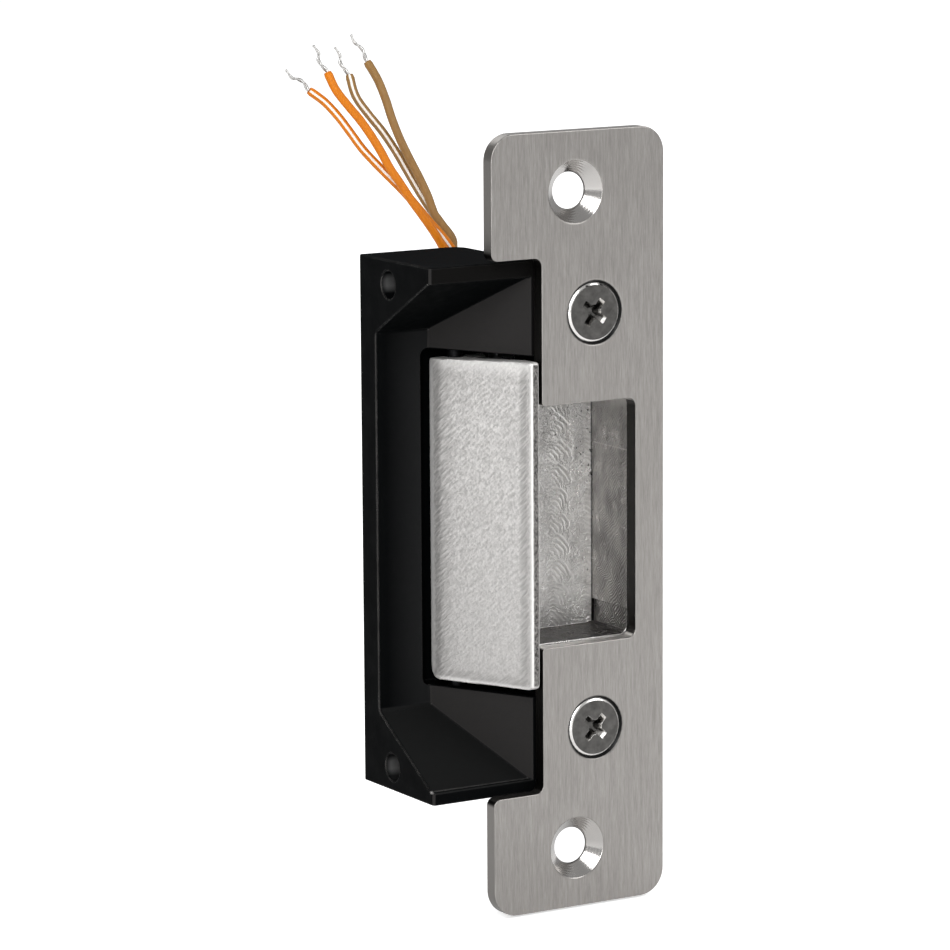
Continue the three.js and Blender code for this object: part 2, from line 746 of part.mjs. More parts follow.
// ---- leads ----
// Each lead's route leaves the grommet, bends up behind the housing and fans out.
const LEADS = {
  orange: {
    finish: "orange",
    points: [
      [-3.8, 26.3, 32],
      [-3.8, 28.1, 32.1],
      [-3.9, 29.6, 33.1],
      [-4.1, 30.4, 34.7],
      [-4.5, 30.6, 36.4],
      [-5.1, 30.7, 38.1],
      [-6.2, 30.7, 40.9],
      [-7.6, 31.4, 43.6],
      [-9, 32.4, 46.1],
      [-10.4, 33.6, 48.6],
      [-11.7, 34.7, 51.2],
      [-13, 35.8, 53.7],
      [-14.1, 36.8, 56.4],
      [-15.3, 37.9, 59],
      [-16.7, 39, 61.5],
      [-18.4, 40, 63.9],
      [-19.9, 41, 66.3],
      [-20.7, 42.2, 69],
    ],
    end: [
      [-20.8, 42.3, 69.3],
      [-21.6, 42.6, 70.2],
      [-21.9, 43, 71],
      [-21.6, 43.4, 72],
      [-22.3, 43.9, 73.3],
    ],
  },
  orange_white: {
    finish: "orange",
    points: [
      [-1.8, 26.3, 32],
      [-1.9, 28.1, 31.9],
      [-1.9, 29.8, 32.3],
      [-1.9, 31.3, 33.3],
      [-2, 32.3, 34.8],
      [-2.2, 32.7, 36.6],
      [-3.1, 32.6, 39.7],
      [-4.9, 32.9, 42.3],
      [-6.7, 33.9, 44.7],
      [-8.4, 35, 47.2],
      [-10.3, 36, 49.7],
      [-12.3, 37, 52],
      [-14.3, 38, 54.3],
      [-16.2, 39, 56.7],
      [-17.8, 40, 59.3],
      [-19.4, 41.1, 61.9],
      [-21.3, 42.2, 64.3],
      [-23.7, 42.9, 66.2],
    ],
    end: [
      [-23.9, 43.1, 66.4],
      [-24.3, 43.5, 67.4],
      [-25.2, 43.7, 68],
      [-26.3, 43.9, 68.3],
      [-27.1, 44.4, 69.6],
    ],
  },
  brown: {
    finish: "brown",
    points: [
      [-1.8, 26.3, 30],
      [-1.8, 28.1, 29.9],
      [-1.8, 29.9, 30],
      [-1.9, 31.6, 30.4],
      [-1.9, 33.2, 31.2],
      [-1.9, 34.2, 32.7],
      [-1.8, 34.6, 36.1],
      [-1.9, 34.5, 39.5],
      [-2.9, 34.9, 42.7],
      [-4.4, 36.2, 45.5],
      [-5, 37.5, 48.6],
      [-5.9, 38.8, 51.7],
      [-7, 40, 54.7],
      [-7.9, 41.3, 57.7],
      [-8.6, 42.6, 60.9],
      [-9, 43.9, 64],
      [-9.7, 45.2, 67.1],
      [-10.9, 46.5, 70],
    ],
    end: [
      [-11.1, 46.7, 70.5],
      [-11.2, 47.1, 71.6],
      [-11.7, 47.5, 72.4],
      [-12.5, 47.8, 73.1],
      [-12.8, 48.3, 74.3],
    ],
  },
  brown_white: {
    finish: "brown",
    points: [
      [-3.8, 26.3, 30],
      [-3.8, 28.1, 30],
      [-3.7, 29.9, 30],
      [-3.7, 31.7, 30],
      [-3.7, 33.5, 30.3],
      [-3.6, 35.1, 31.1],
      [-3.2, 36.6, 34.2],
      [-2, 36.6, 37.5],
      [-0.9, 36.4, 40.9],
      [-2.5, 37.4, 43.9],
      [-4.2, 38.7, 46.8],
      [-5.6, 40, 49.8],
      [-6.9, 41.3, 52.9],
      [-8.2, 42.5, 55.9],
      [-9.8, 43.8, 58.9],
      [-11.7, 45, 61.7],
      [-13.3, 46.2, 64.6],
      [-13.6, 47.6, 67.9],
    ],
    end: [
      [-13.9, 47.7, 68.2],
      [-14.4, 48, 69],
      [-14.8, 48.4, 69.8],
      [-14.6, 48.9, 71],
      [-15.2, 49.4, 72.3],
    ],
  },
};

function route(points) {
  return new THREE.CatmullRomCurve3(points.map((point) => new THREE.Vector3(...point)));
}

function lead(points) {
  return rodAlong(route(points), LEAD.radius, LEAD.sides, 20);
}

function strippedEnd(points) {
  return rodAlong(route(points), LEAD.strand, LEAD.sides, 10);
}

// ---- assembly ----
addPart("faceplate", faceplate(), "brushed");
addPart("faceplate_screw_upper", faceplateScrew(1), "screw");
addPart("faceplate_screw_lower", faceplateScrew(-1), "screw");
addPart("housing", housing(), "casting");
addPart("latch_pocket_block", latchBlock(), "milled");
addPart("pocket_block_screw_upper", blockScrew(1), "zinc");
addPart("pocket_block_screw_lower", blockScrew(-1), "zinc");
addPart("keeper", keeper(), "keeper");
addPart("keeper_pivot_pin", keeperPin(), "oxide");
addPart("keeper_return_spring", keeperSpring(), "spring");
addPart("locking_lever", lever(), "zinc");
addPart("lever_pivot_pin", leverPin(), "oxide");
addPart("plunger_link_pin", linkPin(), "spring");
addPart("solenoid_plunger", plunger(), "zinc");
addPart("plunger_spring", plungerSpring(), "spring");
addPart("solenoid_frame", solenoidFrame(), "zinc");
addPart("solenoid_core", core(), "zinc");
addPart("coil_bobbin", bobbin(), "nylon");
addPart("coil_winding", winding(), "copper");
addPart("back_cover", backCover(), "zinc");
COVER_SCREWS.forEach((place, i) => addPart(`cover_screw_${i + 1}`, coverScrew(place), "zinc"));
addPart("lead_grommet", grommet(), "rubber");
for (const [name, { finish, points, end }] of Object.entries(LEADS)) {
  addPart(`lead_${name}`, lead(points), finish);
  addPart(`lead_end_${name}`, strippedEnd(end), "tinned");
}

export default group;
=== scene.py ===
"""The looks of an electric door strike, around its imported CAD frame.

Sizes are in millimetres, times MM where Blender needs metres, except for the camera's, the
floor's and the lights', which are in metres.
"""

import json
import math
import random

import bmesh
import bpy
from mathutils import Matrix, Vector, noise


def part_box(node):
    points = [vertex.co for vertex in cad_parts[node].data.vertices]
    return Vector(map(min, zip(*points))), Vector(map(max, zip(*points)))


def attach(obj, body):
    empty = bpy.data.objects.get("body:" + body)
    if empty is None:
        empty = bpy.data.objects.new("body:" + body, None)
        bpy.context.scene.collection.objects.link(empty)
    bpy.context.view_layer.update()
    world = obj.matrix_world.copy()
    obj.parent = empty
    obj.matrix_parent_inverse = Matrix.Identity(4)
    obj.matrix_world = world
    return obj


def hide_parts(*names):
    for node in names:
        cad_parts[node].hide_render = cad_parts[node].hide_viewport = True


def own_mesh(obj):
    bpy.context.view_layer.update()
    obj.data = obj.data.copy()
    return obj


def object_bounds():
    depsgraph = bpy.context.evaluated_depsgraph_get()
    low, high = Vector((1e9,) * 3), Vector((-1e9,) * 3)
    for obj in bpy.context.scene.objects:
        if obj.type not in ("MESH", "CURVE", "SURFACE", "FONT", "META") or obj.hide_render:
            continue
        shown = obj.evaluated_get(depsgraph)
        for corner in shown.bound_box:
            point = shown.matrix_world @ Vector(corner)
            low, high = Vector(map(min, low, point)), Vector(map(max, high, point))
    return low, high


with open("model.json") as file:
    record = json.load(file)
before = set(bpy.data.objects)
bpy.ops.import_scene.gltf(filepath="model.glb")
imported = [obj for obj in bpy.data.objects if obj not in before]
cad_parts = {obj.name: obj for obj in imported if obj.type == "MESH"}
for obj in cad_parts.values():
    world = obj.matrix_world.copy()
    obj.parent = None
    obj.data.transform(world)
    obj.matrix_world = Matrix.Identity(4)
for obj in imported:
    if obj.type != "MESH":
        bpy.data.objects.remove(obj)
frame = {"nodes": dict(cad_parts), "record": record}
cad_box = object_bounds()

MM = 0.001

# ---- camera ----
CAMERA = {
    "azimuth": -31.161,
    "elevation": 9.669,
    "roll": -0.353,
    "distance": 0.7338,
    "target": (-0.00943, 0.01594, 0.0063),
    "lens": 175.07,
}


def view_axes(azimuth, elevation, roll):
    """The camera's right, up and forward directions."""
    a, e, r = (math.radians(angle) for angle in (azimuth, elevation, roll))
    forward = Vector((-math.sin(a) * math.cos(e), math.cos(a) * math.cos(e), -math.sin(e)))
    right = forward.cross(Vector((0, 0, 1))).normalized()
    up = right.cross(forward)
    return (
        right * math.cos(r) + up * math.sin(r),
        up * math.cos(r) - right * math.sin(r),
        forward,
    )


def make_camera():
    data = bpy.data.cameras.new("camera")
    data.lens = CAMERA["lens"]
    data.sensor_width = 36
    data.clip_start = 0.01
    data.clip_end = 50
    camera = bpy.data.objects.new("camera", data)
    bpy.context.scene.collection.objects.link(camera)
    right, up, forward = view_axes(CAMERA["azimuth"], CAMERA["elevation"], CAMERA["roll"])
    matrix = Matrix((right, up, -forward)).transposed().to_4x4()
    matrix.translation = Vector(CAMERA["target"]) - forward * CAMERA["distance"]
    camera.matrix_world = matrix
    bpy.context.scene.camera = camera


make_camera()


# ---- pieces and their places ----
def object_from(name, mesh):
    """A new object in the scene from a bmesh, which is used up."""
    data = bpy.data.meshes.new(name)
    mesh.to_mesh(data)
    mesh.free()
    made = bpy.data.objects.new(name, data)
    bpy.context.scene.collection.objects.link(made)
    return made


def add_piece(name, mesh, body, material, replaced):
    """A new visible piece from a bmesh, riding on a body and standing for CAD nodes."""
    piece = object_from(name, mesh)
    piece.data.materials.append(material)
    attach(piece, body)
    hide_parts(*replaced)
    return piece


def finished_piece(node, mesh):
    """A new piece that stands for one CAD node, on its body and with its material."""
    groups = frame["record"]["behaviour"]["bodies"]
    rows = frame["record"]["subparts"]
    body = next(body for body, nodes in groups.items() if node in nodes)
    slot = next(row["material_slot"] for row in rows if row["node"] == node)
    return add_piece(f"{node}_finished", mesh, body, MATERIALS[slot], [node])


# ---- nodes of a material ----
class Shader:
    """A Principled material. Its place is the object's own coordinates, in millimetres."""

    def __init__(self, name, **values):
        self.material = bpy.data.materials.new(name)
        self.material.use_nodes = True
        self.tree = self.material.node_tree
        self.surface = self.tree.nodes["Principled BSDF"]
        for socket, value in values.items():
            self.surface.inputs[socket.replace("_", " ")].default_value = value
        self.coordinates = self.tree.nodes.new("ShaderNodeTexCoord")
        scaled = self.node("VectorMath", {0: self.coordinates.outputs["Object"]}, operation="SCALE")
        scaled.inputs["Scale"].default_value = 1 / MM
        self.place = scaled.outputs[0]
        self.x, self.y, self.z = self.node("SeparateXYZ", {0: self.place}).outputs

    def node(self, kind, inputs, **settings):
        made = self.tree.nodes.new("ShaderNode" + kind)
        for setting, value in settings.items():
            setattr(made, setting, value)
        for socket, value in inputs.items():
            self.feed(made.inputs[socket], value)
        return made

    def feed(self, socket, value):
        if isinstance(value, bpy.types.NodeSocket):
            self.tree.links.new(value, socket)
        else:
            socket.default_value = value

    def math(self, operation, a, b=0.0):
        return self.node("Math", {0: a, 1: b}, operation=operation).outputs[0]

    def plus(self, a, b):
        return self.math("ADD", a, b)

    def minus(self, a, b):
        return self.math("SUBTRACT", a, b)

    def times(self, a, b):
        return self.math("MULTIPLY", a, b)

    def away(self, value, centre=0.0):
        """How far the value is from a centre, either way."""
        return self.math("ABSOLUTE", self.minus(value, centre))

    def distance(self, first, second):
        """The length of two offsets at right angles."""
        return self.math("SQRT", self.plus(self.times(first, first), self.times(second, second)))

    def both(self, *shares):
        """How far all the shares hold: their product."""
        product = shares[0]
        for share in shares[1:]:
            product = self.times(product, share)
        return product

    def either(self, *shares):
        """How far any of the shares holds: the largest."""
        largest = shares[0]
        for share in shares[1:]:
            largest = self.math("MAXIMUM", largest, share)
        return largest

    def noise(self, size, detail=3.0, roughness=0.5, distortion=0.0):
        """Noise whose features are about size millimetres, one number or one for each axis."""
        sizes = size if hasattr(size, "__len__") else (size, size, size)
        shrink = tuple(1 / length for length in sizes)
        stretched = self.node("VectorMath", {0: self.place, 1: shrink}, operation="MULTIPLY")
        inputs = {
            "Vector": stretched.outputs[0],
            "Scale": 1.0,
            "Detail": detail,
            "Roughness": roughness,
            "Distortion": distortion,
        }
        return self.node("TexNoise", inputs).outputs["Fac"]

    def spread(self, value, low, high, to_low=0.0, to_high=1.0):
        """The value, stretched so that low..high becomes to_low..to_high, and held there."""
        inputs = {0: value, 1: low, 2: high, 3: to_low, 4: to_high}
        return self.node("MapRange", inputs, clamp=True).outputs[0]

    def fall(self, value, low, high):
        """1 up to low, falling to 0 at high."""
        return self.spread(value, low, high, 1.0, 0.0)

    def between(self, value, low, high, blur):
        """1 where the value is between low and high, falling to 0 over the blur outside them."""
        return self.both(self.spread(value, low - blur, low), self.fall(value, high, high + blur))

    def mix(self, share, first, second):
        """The first colour changing into the second with the share."""
        made = self.node("Mix", {0: share}, data_type="RGBA")
        self.feed(made.inputs[6], rgba(first))
        self.feed(made.inputs[7], rgba(second))
        return made.outputs[2]

    def blend(self, share, first, second):
        """One number changing into another with the share."""
        return self.node("Mix", {0: share, 2: first, 3: second}, data_type="FLOAT").outputs[0]

    def facing(self, axis):
        """How much the surface faces along an axis, 0 for x to 2 for z, either way: 0 to 1."""
        normal = self.node("SeparateXYZ", {0: self.coordinates.outputs["Normal"]})
        return self.math("ABSOLUTE", normal.outputs[axis])

    def edge_share(self, radius):
        """Where an edge is within that radius in millimetres: 0 on flat faces, up to 1 at edges."""
        rounded = self.tree.nodes.new("ShaderNodeBevel")
        rounded.samples = 6
        rounded.inputs["Radius"].default_value = radius * MM
        plain = self.tree.nodes.new("ShaderNodeNewGeometry").outputs["Normal"]
        inputs = {0: rounded.outputs[0], 1: plain}
        same = self.node("VectorMath", inputs, operation="DOT_PRODUCT").outputs["Value"]
        return self.fall(same, 0.86, 0.985)

    def colour(self, value):
        self.feed(self.surface.inputs["Base Color"], value)

    def roughness(self, value):
        self.feed(self.surface.inputs["Roughness"], value)

    def uneven(self, texture, low, high):
        """Gives the surface a roughness that varies with a noise texture."""
        self.roughness(self.spread(texture, 0.3, 0.7, low, high))

    def bump(self, height, depth, under=None):
        """A bump of a height from 0 to 1, depth millimetres deep, over another bump if given."""
        inputs = {"Height": height, "Distance": depth * MM, "Strength": 1.0}
        if under is not None:
            inputs["Normal"] = under
        normal = self.node("Bump", inputs).outputs[0]
        self.tree.links.new(normal, self.surface.inputs["Normal"])
        return normal


def rgba(value):
    if isinstance(value, bpy.types.NodeSocket) or len(value) == 4:
        return value
    return (*value, 1.0)


X, Y, Z = range(3)


# ---- materials ----
# The plate's two pairs of holes are at x, and at z above and below the middle. Each one's reach
# is where the flat face round it starts.
BODY_HOLE = {"x": 3.0, "z": 33.2, "reach": 5.6}
FRAME_HOLE = {"x": -0.5, "z": 52.39, "reach": 5.3}
TURNING_PITCH = 0.34
# How high the plate's notch and cut-out go, and where its right side starts.
NOTCH_HEIGHT = 43.4
CUT_OUT_HEIGHT = 24.0
RIGHT_SIDE = 12.0


def from_holes(mat, hole):
    """The distance to the axis of the nearer hole of a pair."""
    aside = mat.minus(mat.x, hole["x"])
    return mat.distance(aside, mat.minus(mat.away(mat.z), hole["z"]))


def brushed_plate():
    """Stainless steel brushed lengthwise: streaks along z, plain cut edges; painted shade,
    highlights and shadow on some edges.
    """
    mat = Shader("brushed_plate", Metallic=1.0)
    fine = mat.noise((0.16, 0.16, 2.8), detail=4, roughness=0.75)
    broad = mat.noise((0.6, 0.6, 9.0), detail=3, roughness=0.55)
    cloud = mat.noise((7.0, 7.0, 20.0), detail=2)
    streaks = mat.plus(mat.times(fine, 0.65), mat.times(broad, 0.35))
    tone = mat.spread(streaks, 0.36, 0.64)
    brushed = mat.mix(tone, (0.265, 0.252, 0.24), (0.43, 0.412, 0.395))
    cloudy = mat.spread(cloud, 0.3, 0.7, 0.0, 0.25)
    clouded = mat.mix(cloudy, brushed, (0.28, 0.265, 0.25))
    facing_out = mat.facing(Y)
    height = mat.away(mat.z)
    from_hole = from_holes(mat, BODY_HOLE)
    from_frame_hole = from_holes(mat, FRAME_HOLE)
    rims = mat.both(
        mat.spread(facing_out, 0.4, 0.65),
        mat.spread(from_hole, BODY_HOLE["reach"], BODY_HOLE["reach"] + 0.2),
        mat.spread(from_frame_hole, FRAME_HOLE["reach"], FRAME_HOLE["reach"] + 0.2),
    )
    flat = mat.either(mat.spread(facing_out, 0.75, 0.95), rims)
    plain_edge = (0.2, 0.19, 0.18)
    # Painted shade: inside the notch the cut edges are painted near black.
    inner = mat.both(
        mat.fall(height, NOTCH_HEIGHT, NOTCH_HEIGHT + 0.6),
        mat.fall(mat.x, RIGHT_SIDE, RIGHT_SIDE + 1),
    )
    side = mat.mix(inner, plain_edge, (0.03, 0.028, 0.026))
    # Painted highlight: the level cut edges along the cut-out are painted near white.
    ledge = mat.fall(height, CUT_OUT_HEIGHT, CUT_OUT_HEIGHT + 1)
    level = mat.mix(ledge, plain_edge, (0.8, 0.78, 0.76))
    cut_edge = mat.mix(mat.spread(mat.facing(Z), 0.6, 0.8), side, level)
    # Painted shadow: the countersink and hole round each screw, in the gap under its head, are near
    # black.
    in_hole = mat.fall(from_hole, BODY_HOLE["reach"] - 0.1, BODY_HOLE["reach"])
    turned = mat.both(
        mat.between(facing_out, 0.6, 0.8, 0.08),
        mat.fall(from_frame_hole, FRAME_HOLE["reach"] - 0.2, FRAME_HOLE["reach"] - 0.1),
    )
    turning = mat.math("SINE", mat.times(from_frame_hole, 2 * math.pi / TURNING_PITCH))
    cone = mat.mix(turned, cut_edge, (0.5, 0.485, 0.47))
    cone = mat.mix(in_hole, cone, (0.012, 0.012, 0.012))
    mat.colour(mat.mix(flat, cone, clouded))
    mat.roughness(mat.blend(turned, mat.spread(streaks, 0.3, 0.7, 0.3, 0.44), 0.17))
    marks = mat.plus(mat.both(streaks, flat), mat.both(turning, turned, 0.25))
    mat.bump(marks, 0.012)
    return mat.material


# The housing's two bracket holes run along x, above and below a middle height.
BRACKET_HOLE = {"y": 15.4, "middle": -0.65, "z": 38.55, "radius": 2.25, "mouth": (-24.4, -23.2)}
# Where the housing's left face ends, and what of it lies beside the keeper's pocket.
LEFT_FACE = -25.1
POCKET_BACK = 20.2


def black_casting():
    """Black powder coat over a casting: fine orange peel, faint scuffs, edges grey from wear and
    painted highlight, painted light on some faces.
    """
    mat = Shader("black_casting", Specular_IOR_Level=0.025)
    peel = mat.noise(0.35, detail=3)
    lumps = mat.noise(2.6, detail=2)
    scuff = mat.noise((1.4, 7.0, 2.2), detail=5, roughness=0.7, distortion=0.6)
    scuffed = mat.spread(scuff, 0.56, 0.78, 0.0, 0.6)
    coat = mat.mix(scuffed, (0.0014, 0.0017, 0.0019), (0.0032, 0.0034, 0.0036))
    facing_out, facing_up = mat.facing(Y), mat.facing(Z)
    facing_front = mat.spread(facing_out, 0.9, 0.98)
    right_of_face = mat.spread(mat.x, LEFT_FACE, LEFT_FACE + 0.2)
    # Painted sheen: the top face is a plain cool grey, a little lighter than the coat.
    top = mat.both(mat.spread(facing_up, 0.9, 0.98), mat.spread(mat.z, 41.3, 41.8))
    coat = mat.mix(top, coat, (0.003, 0.0036, 0.0042))
    # Painted light: front faces in the upper half are lighter than in the lower half.
    upper_front = mat.both(
        facing_front, mat.fall(mat.y, 3.5, 4.5), mat.spread(mat.z, 0.0, 1.0)
    )
    coat = mat.mix(upper_front, coat, (0.0045, 0.0043, 0.0041))
    # Painted light: the front-facing floor of the keeper's pocket is lighter.
    toward_window = mat.both(
        facing_front, mat.between(mat.y, 19.2, 19.8, 0.2), mat.spread(mat.x, -23.6, -17.4)
    )
    coat = mat.mix(toward_window, coat, (0.0118, 0.0122, 0.0126))
    # Painted light: sloping faces low on the housing are lighter.
    low_slope = mat.both(
        mat.between(mat.z, -42.5, -28.0, 0.3),
        mat.between(facing_up, 0.3, 0.96, 0.05),
        right_of_face,
    )
    coat = mat.mix(low_slope, coat, (0.0085, 0.0088, 0.0088))
    # Painted light: the ramp faces are the lightest of the coat.
    ramp = mat.both(mat.between(facing_out, 0.45, 0.85, 0.1), mat.fall(facing_up, 0.2, 0.4))
    coat = mat.mix(ramp, coat, (0.0243, 0.0232, 0.0229))
    # Painted glint: a soft grey patch on the wall just inside each bracket hole.
    above_hole = mat.minus(mat.away(mat.z, BRACKET_HOLE["middle"]), BRACKET_HOLE["z"])
    from_centre = mat.distance(mat.minus(mat.y, BRACKET_HOLE["y"]), above_hole)
    glint = mat.both(
        mat.fall(from_centre, BRACKET_HOLE["radius"], BRACKET_HOLE["radius"] + 0.1),
        mat.between(mat.x, *BRACKET_HOLE["mouth"], 0.9),
        mat.between(above_hole, -0.5, 0.7, 1.0),
    )
    coat = mat.mix(glint, coat, (0.08, 0.08, 0.08))
    # Edges grey, partly wear and partly painted highlight, lightest beside the keeper's pocket.
    patches = mat.spread(mat.noise(4.0, detail=4), 0.34, 0.56, 0.35, 1.0)
    edges = mat.both(mat.edge_share(0.3), patches)
    beside_pocket = mat.both(
        mat.fall(mat.x, LEFT_FACE, LEFT_FACE + 0.2),
        mat.fall(mat.y, POCKET_BACK, POCKET_BACK + 0.2),
    )
    worn_and_highlit_grey = mat.mix(beside_pocket, (0.1, 0.098, 0.095), (0.42, 0.41, 0.4))
    mat.colour(mat.mix(edges, coat, worn_and_highlit_grey))
    satin = mat.spread(mat.noise(3.5, detail=4), 0.3, 0.7, 0.56, 0.72)
    mat.roughness(mat.blend(top, satin, 1.0))
    under = mat.bump(lumps, 0.05)
    mat.bump(peel, 0.014, under=under)
    return mat.material


# The keeper's outer face leans by this sine and cosine. It runs from the lip, at this distance
# along it, and its low end is at this height.
KEEPER_FACE = {"across": 0.403, "along": 0.915, "lip": 3.47, "bottom": -26.2}


def keeper_metal():
    """Cast stainless steel, bead blasted: bright, with a fine mottle; the lip's end is coarser;
    painted shade and highlights.
    """
    mat = Shader("keeper_metal", Metallic=0.55)
    mottle = mat.noise((0.42, 0.42, 0.55), detail=4, roughness=0.62, distortion=0.5)
    rise = mat.times(mat.plus(mat.y, mat.z), 0.7)
    drop_away = mat.times(mat.minus(mat.y, mat.z), 0.7)
    slanted = {0: mat.math("DIVIDE", rise, 0.36), 1: mat.math("DIVIDE", drop_away, 1.9)}
    vector = mat.node("CombineXYZ", slanted).outputs[0]
    hatch = mat.node("TexNoise", {"Vector": vector, "Scale": 1.0, "Detail": 3.0}).outputs["Fac"]
    along_face = mat.minus(
        mat.times(mat.y, KEEPER_FACE["along"]), mat.times(mat.x, KEEPER_FACE["across"])
    )
    from_lip = mat.minus(along_face, KEEPER_FACE["lip"])
    from_bottom = mat.minus(mat.z, KEEPER_FACE["bottom"])
    # Painted shade: grey bands near the back, the lip and the bottom of the outer face, where the
    # hatch texture also shows.
    back_band = mat.both(
        mat.spread(from_lip, 14.8, 17.2), mat.fall(from_lip, 18.4, 19.4), 0.8
    )
    front_band = mat.between(from_lip, 1.5, 2.3, 0.6)
    low_band = mat.between(from_bottom, 0.9, 1.5, 0.7)
    grey = mat.either(back_band, mat.times(front_band, 0.95), mat.times(low_band, 0.55))
    texture = mat.blend(mat.spread(grey, 0.0, 1.0, 0.35, 0.8), mottle, hatch)
    grain = mat.noise(0.16, detail=2)
    cloud = mat.noise((5.0, 5.0, 9.0), detail=3)
    base = mat.mix(mat.spread(texture, 0.39, 0.61), (0.42, 0.41, 0.4), (0.77, 0.753, 0.738))
    # Darker towards the bottom as painted shade; the cloudy patches are random tone.
    lower = mat.spread(mat.z, -24.0, 20.0, 0.55, 0.0)
    shade_share = mat.either(mat.spread(cloud, 0.35, 0.7, 0.0, 0.35), lower)
    cloud_and_low_shade = mat.mix(shade_share, base, (0.44, 0.43, 0.421))
    # The bands are painted darker: painted shade.
    band_shade = mat.both(grey, mat.spread(hatch, 0.34, 0.62, 0.95, 0.45))
    band_shaded = mat.mix(band_shade, cloud_and_low_shade, (0.345, 0.336, 0.327))
    # Painted highlights: near white along the lip, back and bottom edges, and towards the top.
    edge_highlight = mat.either(
        mat.fall(from_lip, 0.15, 0.8),
        mat.spread(from_lip, 19.1, 19.9),
        mat.fall(from_bottom, 0.2, 0.8),
        mat.spread(mat.z, 23.2, 25.6, 0.0, 0.6),
    )
    edge_highlighted = mat.mix(edge_highlight, band_shaded, (0.85, 0.84, 0.82))
    rough_cast = mat.noise((0.3, 0.3, 0.5), detail=3, roughness=0.7)
    lip = mat.mix(mat.spread(rough_cast, 0.38, 0.62), (0.04, 0.038, 0.036), (0.25, 0.24, 0.23))
    on_lip = mat.both(mat.spread(mat.facing(Y), 0.85, 0.97), mat.fall(mat.y, 0.5, 0.9))
    mat.colour(mat.mix(on_lip, edge_highlighted, lip))
    mat.roughness(mat.spread(texture, 0.36, 0.64, 0.3, 0.46))
    under = mat.bump(texture, 0.17)
    mat.bump(grain, 0.014, under=under)
    return mat.material


# The cutter went down each column of the latch pocket's floor in steps, and each round pass
# covered the one above it except for a crescent. A column is its x, its radius, its step and
# a shift along z, in mm. A later column covers an earlier one.
CUTTER_COLUMNS = [(-4.2, 3.3, 2.9, 0.4), (9.4, 3.9, 3.3, 1.5), (2.9, 4.0, 3.9, 0.0)]
CUTTER_PITCH = 0.74
CUTTER_WANDER = 5.2


def cutter_column(mat, across, along, column):
    """The rings of one column's crescents, from 0 to 1, and where the column covers the floor."""
    centre, radius, step, shift = column
    aside = mat.minus(across, centre)
    chord = mat.minus(radius**2, mat.times(aside, aside))
    reach = mat.math("SQRT", mat.math("MAXIMUM", chord, 0.0))
    lowest = mat.minus(mat.minus(along, shift), reach)
    number = mat.math("CEIL", mat.math("DIVIDE", lowest, step))
    middle = mat.plus(mat.times(number, step), shift)
    distance = mat.distance(aside, mat.minus(along, middle))
    turns = mat.times(distance, 2 * math.pi / CUTTER_PITCH)
    rings = mat.spread(mat.math("SINE", turns), -0.6, 1.0)
    rim = mat.spread(distance, radius - 0.3, radius - 0.1)
    return mat.either(rings, rim), mat.spread(chord, 0.0, 0.6)


# Heights on the latch pocket's wall and floor: a scratch, the seam of the low panel, and where
# the smooth band at the top starts. The corner is where the floor meets the wall.
SCRATCH_HEIGHT = 10.35
SEAM_HEIGHT = -15.4
SMOOTH_FROM = 17.0
CORNER_X = 10.42


